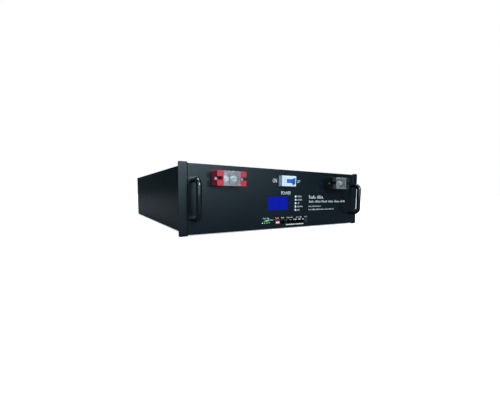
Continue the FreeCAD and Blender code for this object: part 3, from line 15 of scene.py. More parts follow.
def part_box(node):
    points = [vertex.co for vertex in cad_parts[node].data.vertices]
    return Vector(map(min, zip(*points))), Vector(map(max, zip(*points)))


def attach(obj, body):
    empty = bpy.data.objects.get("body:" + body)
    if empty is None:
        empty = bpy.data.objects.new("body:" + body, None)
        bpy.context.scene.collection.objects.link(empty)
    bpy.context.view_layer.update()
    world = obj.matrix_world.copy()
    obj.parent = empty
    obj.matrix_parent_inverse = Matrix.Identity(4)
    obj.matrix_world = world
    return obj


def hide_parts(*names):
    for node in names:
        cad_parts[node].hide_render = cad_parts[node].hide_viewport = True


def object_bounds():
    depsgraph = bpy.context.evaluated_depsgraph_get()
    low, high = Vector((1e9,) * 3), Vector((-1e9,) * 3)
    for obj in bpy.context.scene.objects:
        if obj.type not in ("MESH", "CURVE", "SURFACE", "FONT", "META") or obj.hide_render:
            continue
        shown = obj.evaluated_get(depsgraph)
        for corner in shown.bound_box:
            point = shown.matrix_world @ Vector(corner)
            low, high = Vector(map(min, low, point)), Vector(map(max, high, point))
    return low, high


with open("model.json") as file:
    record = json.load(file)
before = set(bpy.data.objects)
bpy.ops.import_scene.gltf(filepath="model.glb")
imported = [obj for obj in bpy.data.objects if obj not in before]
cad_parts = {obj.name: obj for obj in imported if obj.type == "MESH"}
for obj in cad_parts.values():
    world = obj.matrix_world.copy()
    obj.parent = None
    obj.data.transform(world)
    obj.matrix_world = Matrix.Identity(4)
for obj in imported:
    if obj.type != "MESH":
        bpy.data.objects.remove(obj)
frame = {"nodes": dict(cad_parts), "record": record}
cad_box = [list(corner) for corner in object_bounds()]
BODY = {node: body for body, nodes in frame["record"]["behaviour"]["bodies"].items() for node in nodes}
MM = 0.001
print("design box in mm:", [[round(value / MM, 1) for value in corner] for corner in cad_box])

# %% [markdown]
# Most pieces here are made the way they are by hand in Blender: select one thing, change it in edit
# mode, apply a modifier, move on. A few tiny helpers keep those habits in one place. An operator
# works on everything that is selected, so each helper starts by selecting just one piece.

# %% Helpers for selecting and shaping
def alone(piece):
    """Select one piece and nothing else."""
    bpy.ops.object.select_all(action="DESELECT")
    piece.select_set(True)
    bpy.context.view_layer.objects.active = piece


def named(name):
    """Name the piece that an operator has just added, and its mesh."""
    piece = bpy.context.object
    piece.name = name
    piece.data.name = name
    return piece


def settle(piece):
    """Move a piece's place, turn and size into its mesh."""
    alone(piece)
    bpy.ops.object.transform_apply(location=True, rotation=True, scale=True)
    return piece


def shaped(piece, kind, **settings):
    """Add one modifier with its settings and apply it."""
    step = piece.modifiers.new(kind.title(), kind)
    for name, value in settings.items():
        setattr(step, name, value)
    alone(piece)
    bpy.ops.object.modifier_apply(modifier=step.name)
    return piece


def pick_faces(piece, test):
    """Go to edit mode with only the faces that pass a test selected."""
    alone(piece)
    bpy.ops.object.mode_set(mode="EDIT")
    bpy.ops.mesh.select_mode(type="FACE")
    bpy.ops.mesh.select_all(action="DESELECT")
    bpy.ops.object.mode_set(mode="OBJECT")
    for face in piece.data.polygons:
        face.select = test(face)
    bpy.ops.object.mode_set(mode="EDIT")


def edit_all():
    """Go to edit mode with the whole of the active piece selected."""
    bpy.ops.object.mode_set(mode="EDIT")
    bpy.ops.mesh.select_all(action="SELECT")


def leave_edit():
    bpy.ops.object.mode_set(mode="OBJECT")


def joined(name, pieces):
    """Join several pieces into one mesh."""
    alone(pieces[0])
    for piece in pieces:
        piece.select_set(True)
    bpy.ops.object.join()
    return named(name)


# %% [markdown]
# A finished piece needs four things: a material, smooth shading that stops at real corners, the body it
# moves with, and the design nodes it stands for, which are hidden. Weighted normals keep the wide flat
# faces flat in the light, and leave the roundness to the small edge faces. The body is looked up from a
# design node, so a piece can't be put on the wrong body by a slip of the pen.

# %% Helpers for finishing a piece
SMOOTH_BELOW = math.radians(32)


def finished(piece, material, node, stands_for=()):
    """Shade a piece, give it its material, and hang it on the body of a design node."""
    piece.data.materials.clear()
    piece.data.materials.append(material)
    alone(piece)
    bpy.ops.object.shade_smooth_by_angle(angle=SMOOTH_BELOW)
    shaped(piece, "WEIGHTED_NORMAL", keep_sharp=True, weight=100)
    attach(piece, BODY[node])
    if stands_for:
        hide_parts(*stands_for)
    return piece


def kept(material, *nodes):
    """Leave design nodes as they are, with a better material."""
    for node in nodes:
        for slot in frame["nodes"][node].material_slots:
            slot.material = material


# %% [markdown]
# The design model has knife-sharp edges. Real folded steel, moulded plastic and turned metal never
# do, and it is the small rounded edge that catches a line of light. So a copy of a design node has
# its loose triangles merged, its flat faces cleaned up, and its sharp edges bevelled by a real radius.

# %% Copies with soft edges
FLAT = math.radians(0.5)
SHARP = math.radians(38)
SAME_CORNER = 0.002 * MM


def clean_copy(node, name):
    """A copy of a design node with merged corners and without the lines across its flat faces."""
    piece = bpy.data.objects.new(name, frame["nodes"][node].data.copy())
    bpy.context.scene.collection.objects.link(piece)
    alone(piece)
    edit_all()
    bpy.ops.mesh.remove_doubles(threshold=SAME_CORNER)
    bpy.ops.mesh.dissolve_limited(angle_limit=FLAT)
    leave_edit()
    return piece


def rounded(piece, radius_mm, rounds=2, **settings):
    """Bevel a piece's sharp edges by a radius."""
    return shaped(piece, "BEVEL", width=radius_mm * MM, segments=rounds, limit_method="ANGLE",
                  angle_limit=SHARP, **settings)


def softened(node, material, radius_mm, rounds=2):
    """A clean copy with its sharp edges rounded, which stands for its design node."""
    piece = clean_copy(node, node + "_soft")
    rounded(piece, radius_mm, rounds, miter_outer="MITER_ARC", use_clamp_overlap=True)
    return finished(piece, material, node, [node])


def corners_of(mesh):
    """The low and high corner of a mesh."""
    spots = [vertex.co for vertex in mesh.vertices]
    low = Vector([min(spot[axis] for spot in spots) for axis in range(3)])
    high = Vector([max(spot[axis] for spot in spots) for axis in range(3)])
    return low, high


def solids_of(node):
    """The low and high corner of each separate solid in a design node."""
    clean_copy(node, node + "_probe")
    bpy.ops.mesh.separate(type="LOOSE")
    boxes = []
    for piece in list(bpy.context.selected_objects):
        boxes.append(corners_of(piece.data))
        bpy.data.objects.remove(piece)
    return sorted(boxes, key=lambda box: tuple(round(value, 5) for value in box[0]))


# %% [markdown]
# Materials are node trees. One small function adds a node, sets its values and links its inputs.
# Colours are written the way a paint chart gives them, as sRGB hex, and turned to linear light once.
# Pattern sizes are given in millimetres, and a noise texture wants how many of them fit in a metre.
# Most finishes need a fine grain and slow clouds, so one function gives both to a shader.

# %% Helpers for materials
NOISE_BAND = (0.3, 0.7)


def colour(code):
    """An sRGB hex colour as linear red, green, blue and alpha."""
    parts = [int(code[i:i + 2], 16) / 255 for i in (0, 2, 4)]
    return [p / 12.92 if p <= 0.04045 else ((p + 0.055) / 1.055) ** 2.4 for p in parts] + [1.0]


def add_node(tree, kind, settings=None, links=None):
    """Add one node: settings go to its sockets or properties, links to its inputs."""
    node = tree.nodes.new(kind)
    for name, value in (settings or {}).items():
        if isinstance(name, int) or name in node.inputs:
            node.inputs[name].default_value = value
        else:
            setattr(node, name, value)
    for name, source in (links or {}).items():
        tree.links.new(source, node.inputs[name])
    return node


def per_metre(size_mm):
    """The scale of a pattern whose repeat is a size in millimetres."""
    return 1.0 / (size_mm * MM)


def new_material(name, surface):
    """A material with plain numbers and colours on its shader's own sockets."""
    material = bpy.data.materials.new(name)
    material.use_nodes = True
    shader = material.node_tree.nodes["Principled BSDF"]
    for socket, value in surface.items():
        shader.inputs[socket].default_value = value
    return material, material.node_tree, shader


def grained(tree, shader, shades, grain_mm, bump_mm, roughness, cloud_mm=60.0, stretch=(1, 1, 1)):
    """Give a shader a fine grain in its height, and slow clouds in its colour and roughness."""
    place = add_node(tree, "ShaderNodeTexCoord")
    turned = add_node(tree, "ShaderNodeMapping", {"Scale": stretch},
                      {"Vector": place.outputs["Object"]})
    fine = add_node(tree, "ShaderNodeTexNoise", {"Scale": per_metre(grain_mm), "Detail": 2.0},
                    {"Vector": turned.outputs["Vector"]})
    slow = add_node(tree, "ShaderNodeTexNoise", {"Scale": per_metre(cloud_mm), "Detail": 3.0},
                    {"Vector": place.outputs["Object"]})
    blend = add_node(tree, "ShaderNodeMath", {"operation": "MULTIPLY_ADD", 1: 0.5, 2: 0.0},
                     {0: fine.outputs["Fac"]})
    share = add_node(tree, "ShaderNodeMath", {"operation": "MULTIPLY_ADD", 1: 0.5},
                     {0: slow.outputs["Fac"], 2: blend.outputs["Value"]})
    tint = add_node(tree, "ShaderNodeMix", {
        "data_type": "RGBA", 6: colour(shades[0]), 7: colour(shades[1])}, {0: share.outputs["Value"]})
    tree.links.new(tint.outputs[2], shader.inputs["Base Color"])
    gloss = add_node(tree, "ShaderNodeMapRange", {
        "From Min": NOISE_BAND[0], "From Max": NOISE_BAND[1],
        "To Min": roughness[0], "To Max": roughness[1]}, {"Value": share.outputs["Value"]})
    tree.links.new(gloss.outputs["Result"], shader.inputs["Roughness"])
    height = add_node(tree, "ShaderNodeBump", {"Strength": 1.0, "Distance": bump_mm * MM},
                      {"Height": fine.outputs["Fac"]})
    tree.links.new(height.outputs["Normal"], shader.inputs["Normal"])


def grained_material(name, surface, shades, **grain):
    """A finish that needs no more than its grain."""
    material, tree, shader = new_material(name, surface)
    grained(tree, shader, shades, **grain)
    return material


# %% [markdown]
# The camera stands low, in front and to the left, a little under half a metre from the near ear, and
# looks slightly down along the panel. Its place and turn are a point and three plain angles, and the
# lens is a short wide one, which is why the near end looks so much taller than the far end.

# %% The camera
EYE = Vector((-0.37121, -0.44996, 0.01033))
YAW, PITCH, ROLL = math.radians(31.62), math.radians(-4.46), math.radians(0.53)
LENS_MM = 18.663
LENS_RISE = 0.0286
NEAREST_SEEN = 0.01

ahead = Vector((math.sin(YAW) * math.cos(PITCH), math.cos(YAW) * math.cos(PITCH), math.sin(PITCH)))
level = Vector((math.cos(YAW), -math.sin(YAW), 0))
upright = level.cross(ahead)
right = level * math.cos(ROLL) + upright * math.sin(ROLL)
up = upright * math.cos(ROLL) - level * math.sin(ROLL)
turn = Matrix((right, up, -ahead)).transposed().to_4x4()
lens = bpy.data.cameras.new("camera")
lens.lens = LENS_MM
lens.shift_y = LENS_RISE
lens.clip_start = NEAREST_SEEN
camera = bpy.data.objects.new("camera", lens)
camera.matrix_world = Matrix.Translation(EYE) @ turn
bpy.context.scene.collection.objects.link(camera)
bpy.context.scene.camera = camera
print("camera at", [round(value, 3) for value in EYE])

# %% [markdown]
# The set is a white floor under a white sky, so there is no horizon. What the camera sees and what
# lights the battery are kept apart, as with black flags round a product table: a black object in an
# all-white room would look grey. So the camera sees floor and sky white, while to every other ray the
# floor is dark and the sky glows from one side only. The floor also has a little light of its own,
# which only the camera sees.

# %% The white floor
FLOOR_Z = cad_box[0][2]
FLOOR_WIDE = 40
bpy.context.scene.view_settings.view_transform = "Standard"

bpy.ops.mesh.primitive_grid_add(x_subdivisions=8, y_subdivisions=8, size=FLOOR_WIDE,
                                location=(0, 0, FLOOR_Z))
floor = settle(named("floor"))
floor_paint, floor_tree, floor_shader = new_material("floor_paper", {
    "Specular IOR Level": 0.1, "Emission Color": colour("FFFFFF"), "Emission Strength": 0.55})
grained(floor_tree, floor_shader, ("FAFAFA", "FFFFFF"),
        grain_mm=6.0, bump_mm=0.01, roughness=(0.9, 0.98), cloud_mm=900)
flag = add_node(floor_tree, "ShaderNodeBsdfDiffuse", {"Color": colour("55585C")})
floor_ray = add_node(floor_tree, "ShaderNodeLightPath")
floor_mix = add_node(floor_tree, "ShaderNodeMixShader", None, {
    0: floor_ray.outputs["Is Camera Ray"], 1: flag.outputs["BSDF"], 2: floor_shader.outputs["BSDF"]})
floor_tree.links.new(floor_mix.outputs["Shader"],
                     floor_tree.nodes["Material Output"].inputs["Surface"])
floor.data.materials.append(floor_paint)
print("floor at", round(FLOOR_Z / MM, 2), "mm")

# %% [markdown]
# The sky's light is cool and comes mostly from the front and a little from above. Its glow is strongest
# along one aim and fades to almost nothing at the sides, which gives the panel its soft slope of light.

# %% The sky
SKY_AIM = (-0.22, -0.94, 0.26)
GLOW_EDGE, GLOW_HEART = 0.52, 0.98
GLOW_LEAST, GLOW_MOST = 0.05, 3.0

sky = bpy.data.worlds.new("sky")
sky.use_nodes = True
air = sky.node_tree
way = add_node(air, "ShaderNodeTexCoord")
towards = add_node(air, "ShaderNodeVectorMath", {"operation": "DOT_PRODUCT", 1: SKY_AIM},
                   {0: way.outputs["Generated"]})
glow = add_node(air, "ShaderNodeMapRange", {
    "From Min": GLOW_EDGE, "From Max": GLOW_HEART, "To Min": GLOW_LEAST, "To Max": GLOW_MOST},
    {"Value": towards.outputs["Value"]})
dim = add_node(air, "ShaderNodeBackground", {"Color": colour("B4DAE8")},
               {"Strength": glow.outputs["Result"]})
white = add_node(air, "ShaderNodeBackground", {"Color": colour("FFFFFF"), "Strength": 1.0})
ray = add_node(air, "ShaderNodeLightPath")
both = add_node(air, "ShaderNodeMixShader", None, {
    0: ray.outputs["Is Camera Ray"], 1: dim.outputs["Background"], 2: white.outputs["Background"]})
air.links.new(both.outputs["Shader"], air.nodes["World Output"].inputs["Surface"])
bpy.context.scene.world = sky
print("the sky glows towards", SKY_AIM)

# %% [markdown]
# Two soft boxes and a sun do the rest. The box in front throws the handles' shadows down the panel, the
# wide one behind keeps the cover and the back from going quite black, and a broad sun straight above
# keeps the floor white.

# %% Lamps
SUN_STRENGTH = 1.8
SUN_BREADTH = math.radians(40)


def soft_light(name, place, aim, wide, tall, watts, tint):
    """A soft box at a place, turned to a point it lights."""
    lamp = bpy.data.lights.new(name, "AREA")
    lamp.shape = "RECTANGLE"
    lamp.size, lamp.size_y = wide, tall
    lamp.energy = watts
    lamp.color = colour(tint)[:3]
    holder = bpy.data.objects.new(name, lamp)
    holder.location = place
    holder.rotation_euler = (Vector(aim) - Vector(place)).to_track_quat("-Z", "Y").to_euler()
    bpy.context.scene.collection.objects.link(holder)


soft_light("front_box", place=(0.05, -1.75, 0.85), aim=(0.0, 0.0, 0.0),
           wide=0.9, tall=0.7, watts=28, tint="E8F2FA")
soft_light("back_box", place=(1.5, 2.4, 1.1), aim=(0.0, 0.5, 0.0),
           wide=2.6, tall=2.0, watts=34, tint="EEF4FA")
sun = bpy.data.lights.new("overhead_sun", "SUN")
sun.energy = SUN_STRENGTH
sun.angle = SUN_BREADTH
bpy.context.scene.collection.objects.link(bpy.data.objects.new("overhead_sun", sun))
print("lamps:", [lamp.name for lamp in bpy.data.lights])

# %% [markdown]
# **Powder coat.** The whole case is steel sheet under a fine black powder coat, which is sprayed on as
# dust and baked. It leaves a tiny pebbled grain, deep black with a cool tint, and a wide soft shine.
# The real grain is about 0.3 mm; it is drawn at 0.9 mm so that it shows.

# %% Powder-coated steel
powder = grained_material(
    "black_powder_coat", {"Specular IOR Level": 0.5}, ("050C11", "09141A"),
    grain_mm=0.9, bump_mm=0.015, roughness=(0.2, 0.26))

# %% [markdown]
# **Gloss enamel** on the handles is a wet black coat over round steel bar, so its highlights are thin
# and bright. Hands dull it a little, which the slow clouds in its roughness show.

# %% Gloss black enamel
enamel = grained_material(
    "gloss_black_enamel", {"Coat Weight": 0.6, "Coat Roughness": 0.06}, ("05080C", "0A0E13"),
    grain_mm=2.2, bump_mm=0.006, roughness=(0.1, 0.18), cloud_mm=18)

# %% [markdown]
# **Plated steel** comes in three colours here: black zinc on the case screws, bright zinc on the
# screws of the terminals, and a paler, softer nickel on the terminal studs and nuts. Each is a metal
# with a thin, slightly cloudy skin.

# %% Black zinc, bright zinc and nickel
black_zinc = grained_material(
    "black_zinc", {"Metallic": 1.0}, ("23262A", "33363A"),
    grain_mm=0.7, bump_mm=0.01, roughness=(0.3, 0.45), cloud_mm=6)
bright_zinc = grained_material(
    "bright_zinc", {"Metallic": 1.0}, ("C3C6C9", "DADCDD"),
    grain_mm=0.7, bump_mm=0.01, roughness=(0.2, 0.36), cloud_mm=6)
nickel = grained_material(
    "nickel_plate", {"Metallic": 0.6}, ("EFEDE8", "FBFAF7"),
    grain_mm=0.6, bump_mm=0.008, roughness=(0.3, 0.42), cloud_mm=5)

# %% [markdown]
# **Moulded plastics** take their skin from the steel mould: the red and the black terminal blocks are
# glass-filled nylon with a faint spark-eroded grain, the breaker is a smoother light grey moulding,
# and the blue toggle and the white buttons are glossy.

# %% Moulded plastics
red_nylon = grained_material(
    "red_nylon", {"IOR": 1.53}, ("B01226", "C41C34"),
    grain_mm=0.8, bump_mm=0.02, roughness=(0.3, 0.42), cloud_mm=14)
black_nylon = grained_material(
    "black_nylon", {"IOR": 1.53}, ("0E0F11", "191B1D"),
    grain_mm=0.8, bump_mm=0.03, roughness=(0.38, 0.52), cloud_mm=14)
pale_moulding = grained_material(
    "pale_breaker_moulding", {"IOR": 1.5}, ("CDD3DA", "DDE2E8"),
    grain_mm=0.7, bump_mm=0.015, roughness=(0.34, 0.46), cloud_mm=12)
blue_plastic = grained_material(
    "blue_toggle_plastic", {"IOR": 1.5}, ("0E50AE", "155EC4"),
    grain_mm=0.7, bump_mm=0.01, roughness=(0.22, 0.34), cloud_mm=8)
white_plastic = grained_material(
    "white_button_plastic", {"IOR": 1.5}, ("D8DADB", "E9EAEA"),
    grain_mm=0.7, bump_mm=0.008, roughness=(0.25, 0.4), cloud_mm=5)
dip_plastic = grained_material(
    "red_switch_plastic", {"IOR": 1.5}, ("A80F24", "C4182E"),
    grain_mm=0.5, bump_mm=0.01, roughness=(0.3, 0.42), cloud_mm=4)
slider_plastic = grained_material(
    "pale_slider_plastic", {"IOR": 1.5}, ("F2D9DC", "FBECEC"),
    grain_mm=0.4, bump_mm=0.008, roughness=(0.3, 0.42), cloud_mm=3)

# %% [markdown]
# **Clear polycarbonate** covers the terminals. It is a thin clear sheet with the slightly raised IOR
# of that plastic. Fine wiping marks break its gloss, or it would look like nothing at all.

# %% Clear polycarbonate
clear, clear_tree, clear_shader = new_material("clear_polycarbonate", {
    "Base Color": colour("FAFCFD"), "Transmission Weight": 0.92, "IOR": 1.585, "Coat Weight": 0.3})
WIPE_MM = 9
clear_place = add_node(clear_tree, "ShaderNodeTexCoord")
streaks = add_node(clear_tree, "ShaderNodeMapping", {"Scale": (1, 1, 5)},
                   {"Vector": clear_place.outputs["Object"]})
wiped = add_node(clear_tree, "ShaderNodeTexNoise", {"Scale": per_metre(WIPE_MM), "Detail": 4.0},
                 {"Vector": streaks.outputs["Vector"]})
haze = add_node(clear_tree, "ShaderNodeMapRange", {"To Min": 0.02, "To Max": 0.12},
                {"Value": wiped.outputs["Fac"]})
clear_tree.links.new(haze.outputs["Result"], clear_shader.inputs["Roughness"])

# %% [markdown]
# ** The top and bottom faces** of the clear cover carry a painted highlight: the same plastic, whiter, rougher and less see-through, so that the bright white lines that light draws along its edges are painted into its colour.

# %% Painted highlight on the clear sheet's top and bottom
# Whiter frosted plastic: a painted highlight for the bright lines along the cover's top and bottom.
painted_edge_highlight = grained_material(
    "clear_edge_painted_highlight", {"Transmission Weight": 0.35, "IOR": 1.585}, ("F0F4F6", "FFFFFF"),
    grain_mm=0.6, bump_mm=0.02, roughness=(0.5, 0.65), cloud_mm=8)

# %% [markdown]
# **The display** is a blue backlit panel behind a window. Its own light is an even deep blue, crossed
# by the faint grid of its character cells, and the window over it has only a weak, soft gloss.

# %% The lit display
CELL_WIDE, CELL_TALL, CELL_GAP = 2.6, 4.4, 0.16
display_blue, display_tree, display_shader = new_material("lit_blue_display", {
    "Base Color": colour("02030C"), "Roughness": 0.3, "Specular IOR Level": 0.12,
    "Emission Strength": 1.0})
display_place = add_node(display_tree, "ShaderNodeTexCoord")
cells = add_node(display_tree, "ShaderNodeTexBrick", {
    "Scale": 1.0, "Brick Width": CELL_WIDE * MM, "Row Height": CELL_TALL * MM,
    "Mortar Size": CELL_GAP * MM,
    "Mortar Smooth": 0.2, "offset": 0.0, "Color1": colour("0616A0"), "Color2": colour("0519AC"),
    "Mortar": colour("04108C")})
flat = add_node(display_tree, "ShaderNodeMapping", {"Rotation": (math.radians(-90), 0, 0)},
                {"Vector": display_place.outputs["Object"]})
display_tree.links.new(flat.outputs["Vector"], cells.inputs["Vector"])
display_tree.links.new(cells.outputs["Color"], display_shader.inputs["Emission Color"])

# %% [markdown]
# **Small lamps** are frosted plastic with a light behind it. The run lamp is white and the charge
# lamps are green; the ring round the power button is a dark green that glows only faintly. The lamps of
# the row have a dark rim and a bright heart. The shader finds the heart by each point's distance from
# the nearest lamp's axis: the distance along the row wraps round once a pitch.

# %% Lamp plastics
ACRYLIC_IOR = 1.49
LAMP_X, LAMP_PITCH, LAMP_Z = -65.0, 5.8, -50.6
RIM_STARTS, HEART_ENDS = 1.25, 0.75


def lamp_plastic(name, body, glow, strength):
    """Frosted plastic with a glow of its own."""
    return grained_material(
        name, {"Emission Color": colour(glow), "Emission Strength": strength, "IOR": ACRYLIC_IOR}, body,
        grain_mm=0.8, bump_mm=0.01, roughness=(0.3, 0.45), cloud_mm=4)


def row_lamp(name, rim, heart, strength):
    """A lamp of the row: dark at its rim, with a heart of light on each lamp's own axis."""
    material, tree, shader = new_material(name, {"Emission Strength": strength, "IOR": ACRYLIC_IOR})
    spot = add_node(tree, "ShaderNodeTexCoord")
    place = add_node(tree, "ShaderNodeSeparateXYZ", None, {"Vector": spot.outputs["Object"]})
    along = add_node(tree, "ShaderNodeMath", {"operation": "SUBTRACT", 1: LAMP_X * MM},
                     {0: place.outputs["X"]})
    nearest = add_node(tree, "ShaderNodeMath", {
        "operation": "WRAP", 1: LAMP_PITCH * MM / 2, 2: -LAMP_PITCH * MM / 2},
        {0: along.outputs["Value"]})
    above = add_node(tree, "ShaderNodeMath", {"operation": "SUBTRACT", 1: LAMP_Z * MM},
                     {0: place.outputs["Z"]})
    aside = add_node(tree, "ShaderNodeCombineXYZ", None,
                     {"X": nearest.outputs["Value"], "Z": above.outputs["Value"]})
    reach = add_node(tree, "ShaderNodeVectorMath", {"operation": "LENGTH"},
                     {0: aside.outputs["Vector"]})
    lit = add_node(tree, "ShaderNodeMapRange", {
        "From Min": RIM_STARTS * MM, "From Max": HEART_ENDS * MM}, {"Value": reach.outputs["Value"]})
    grain = add_node(tree, "ShaderNodeTexNoise", {"Scale": per_metre(0.5)},
                     {"Vector": spot.outputs["Object"]})
    tint = add_node(tree, "ShaderNodeMix", {"data_type": "RGBA", 6: colour(rim[0]), 7: colour(rim[1])},
                    {0: grain.outputs["Fac"]})
    glow = add_node(tree, "ShaderNodeMix", {"data_type": "RGBA", 7: colour(heart)},
                    {0: lit.outputs["Result"], 6: tint.outputs[2]})
    tree.links.new(glow.outputs[2], shader.inputs["Base Color"])
    tree.links.new(glow.outputs[2], shader.inputs["Emission Color"])
    return material


white_lamp = row_lamp("white_lamp", ("1A2022", "2A3234"), heart="DCE6E4", strength=0.6)
green_lamp = row_lamp("green_lamp", ("0A2A12", "12401C"), heart="4EDC4A", strength=0.6)
ring_lamp = lamp_plastic("green_ring", ("04281A", "0A4630"), glow="0A5A3A", strength=0.1)
clear_lamp = lamp_plastic("clear_port_lamp", ("D8DCDC", "F0F2F2"), glow="F0F4F4", strength=0.6)

# %% [markdown]
# **Plated contacts.** The wires in the network sockets are plated with gold, so they never tarnish. The
# conductors of the terminals are thick copper, tinned to a dull pale skin.

# %% Gold and tinned copper
gold = grained_material(
    "gold_contact", {"Metallic": 1.0}, ("D9A441", "EBC063"),
    grain_mm=0.4, bump_mm=0.004, roughness=(0.18, 0.3), cloud_mm=3)
dull_tin = grained_material(
    "dull_tinned_copper", {"Metallic": 0.9}, ("9A8A8A", "B0A2A0"),
    grain_mm=0.7, bump_mm=0.01, roughness=(0.36, 0.5), cloud_mm=8)

# %% [markdown]
# **The socket block** is a black moulding with a bright tinned tray under it. The tray's folded lip
# shows as a pale sill below the sockets, so the colour changes at the height of the sill, read from
# the place of each point.

# %% Socket block with a tinned sill
SILL_TOP_Z = -55.8
SOOT_GRAIN_MM = 0.7
jack_shell, jack_tree, jack_shader = new_material("socket_block", {"Metallic": 0.25})
grained(jack_tree, jack_shader, ("CFCCC2", "E6E3DA"),
        grain_mm=0.5, bump_mm=0.01, roughness=(0.34, 0.5), cloud_mm=7)
sill_colour = jack_shader.inputs["Base Color"].links[0].from_socket
jack_place = add_node(jack_tree, "ShaderNodeTexCoord")
height = add_node(jack_tree, "ShaderNodeSeparateXYZ", None, {"Vector": jack_place.outputs["Object"]})
above = add_node(jack_tree, "ShaderNodeMath", {"operation": "GREATER_THAN", 1: SILL_TOP_Z * MM},
                 {0: height.outputs["Z"]})
grain = add_node(jack_tree, "ShaderNodeTexNoise", {"Scale": per_metre(SOOT_GRAIN_MM)},
                 {"Vector": jack_place.outputs["Object"]})
soot = add_node(jack_tree, "ShaderNodeMix", {
    "data_type": "RGBA", 6: colour("0C0D0F"), 7: colour("1B1C1E")}, {0: grain.outputs["Fac"]})
shell = add_node(jack_tree, "ShaderNodeMix", {"data_type": "RGBA"},
                 {0: above.outputs["Value"], 6: sill_colour, 7: soot.outputs[2]})
jack_tree.links.new(shell.outputs[2], jack_shader.inputs["Base Color"])

# %% [markdown]
# **Inside the case** the cells are aluminium cans in blue film, held by pale insulating board and
# milled end plates, joined by copper. The boards are glass epoxy under green lacquer, and the leads
# have soft silicone insulation. None of it shows until the cover comes off, but it is finished too.

# %% Finishes of the inner pieces
blue_film = grained_material(
    "blue_cell_film", {"IOR": 1.55, "Coat Weight": 0.4}, ("1A4E9A", "2560B4"),
    grain_mm=3.0, bump_mm=0.03, roughness=(0.25, 0.4), cloud_mm=40)
board_paper = grained_material(
    "insulating_board", {"IOR": 1.5}, ("CFC6A8", "DDD5BA"),
    grain_mm=1.2, bump_mm=0.05, roughness=(0.7, 0.85), cloud_mm=30)
milled = grained_material(
    "milled_aluminium", {"Metallic": 1.0}, ("B9BBBD", "CBCDCE"),
    grain_mm=0.8, bump_mm=0.02, roughness=(0.3, 0.45), cloud_mm=20, stretch=(1, 1, 12))
copper = grained_material(
    "copper_strip", {"Metallic": 1.0}, ("B5683F", "C97E52"),
    grain_mm=0.9, bump_mm=0.01, roughness=(0.25, 0.42), cloud_mm=12)
brass = grained_material(
    "turned_brass", {"Metallic": 1.0}, ("B8923F", "CDA955"),
    grain_mm=0.6, bump_mm=0.01, roughness=(0.22, 0.36), cloud_mm=6)
lacquer = grained_material(
    "green_board_lacquer", {"IOR": 1.5, "Coat Weight": 0.3}, ("0B4A26", "146033"),
    grain_mm=1.6, bump_mm=0.02, roughness=(0.25, 0.4), cloud_mm=10)
red_silicone = grained_material(
    "red_silicone", {"IOR": 1.41}, ("9C1414", "B21C1C"),
    grain_mm=0.8, bump_mm=0.02, roughness=(0.5, 0.65), cloud_mm=15)
black_silicone = grained_material(
    "black_silicone", {"IOR": 1.41}, ("101112", "1A1B1C"),
    grain_mm=0.8, bump_mm=0.02, roughness=(0.5, 0.65), cloud_mm=15)

# %% [markdown]
# **The sheet-metal case.** Folded and laser-cut sheet has edges with a radius of a few tenths of a
# millimetre. The design nodes have the right outlines and holes, so each one is copied with soft
# edges and powder coated. The rack ears are thicker plate, cut and folded, and nearest to the eye, so
# their edges get one step more.

# %% Case, panels and ears
softened("front_panel", powder, radius_mm=0.2)
for node in ("top_cover", "base_tray", "rear_panel"):
    softened(node, powder, radius_mm=0.3)
for node in ("left_rack_ear", "right_rack_ear"):
    softened(node, powder, radius_mm=0.25, rounds=3)
print("powder-coated sheet in six pieces")

# %% [markdown]
# ** Terminal blocks and their clear covers.** The blocks are thick mouldings with generous edges. Each cover is a bent clear sheet, and the faces near its top and bottom that look up or down get a painted highlight as a second material.

# %% Terminal blocks and covers
PAINTED_HIGHLIGHT_REACH = 3 * MM


def clear_cover(node):
    """A clear cover whose faces near its top and bottom carry a painted highlight."""
    cover = softened(node, clear, radius_mm=0.35)
    cover.data.materials.append(painted_edge_highlight)
    low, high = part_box(node)
    for face in cover.data.polygons:
        from_end = min(abs(face.center.z - low[2]), abs(face.center.z - high[2]))
        # Faces that look up or down near the top or the bottom get the painted highlight.
        takes_highlight = abs(face.normal.z) > 0.9 and from_end < PAINTED_HIGHLIGHT_REACH
        face.material_index = 1 if takes_highlight else 0


softened("positive_terminal_base", red_nylon, radius_mm=0.6, rounds=3)
softened("negative_terminal_base", black_nylon, radius_mm=0.6, rounds=3)
clear_cover("positive_terminal_guard")
clear_cover("negative_terminal_guard")

# %% [markdown]
# **Mouldings and small hardware** get the same treatment with smaller radii: a moulding's edge is
# about half a millimetre, a pressed nut's about the same, a machined pin's less. A table keeps the
# finish and the radius of each beside its name. Lamps too small for an edge keep their shape.

# %% Terminals, breaker, sockets and hardware
SOFT_EDGES = (  # design node, finish, edge radius in mm, steps in the rounding
    ("terminal_nuts", nickel, 0.45, 2),
    ("terminal_washers", nickel, 0.2, 2),
    ("terminal_conductors", dull_tin, 0.3, 2),
    ("terminal_screws", bright_zinc, 0.3, 2),
    ("breaker_body", pale_moulding, 0.5, 3),
    ("breaker_toggle", blue_plastic, 0.5, 3),
    ("breaker_screws", black_zinc, 0.3, 2),
    ("rear_panel_screws", black_zinc, 0.3, 2),
    ("display_glass", display_blue, 0.3, 2),
    ("dip_switch_housing", dip_plastic, 0.25, 2),
    ("data_port", black_nylon, 0.3, 2),
    ("network_jacks", jack_shell, 0.25, 2),
    ("port_lamps", clear_lamp, 0.2, 2),
    ("power_button_bezel", black_nylon, 0.25, 2),
    ("power_button_ring", ring_lamp, 0.12, 2),
    *((f"dip_slider_{which}", slider_plastic, 0.2, 2) for which in ("one", "two", "three", "four")),
)
for node, material, radius_mm, rounds in SOFT_EDGES:
    softened(node, material, radius_mm, rounds)
kept(white_lamp, "run_lamp")
kept(green_lamp, "charge_lamps")
print("small pieces with soft edges:", len(SOFT_EDGES))

# %% [markdown]
# **The inner pieces** keep the shapes of the design. They are cut, pressed or wrapped pieces with plain
# outlines, and they are only seen with the cover off, so a true finish is what they need.

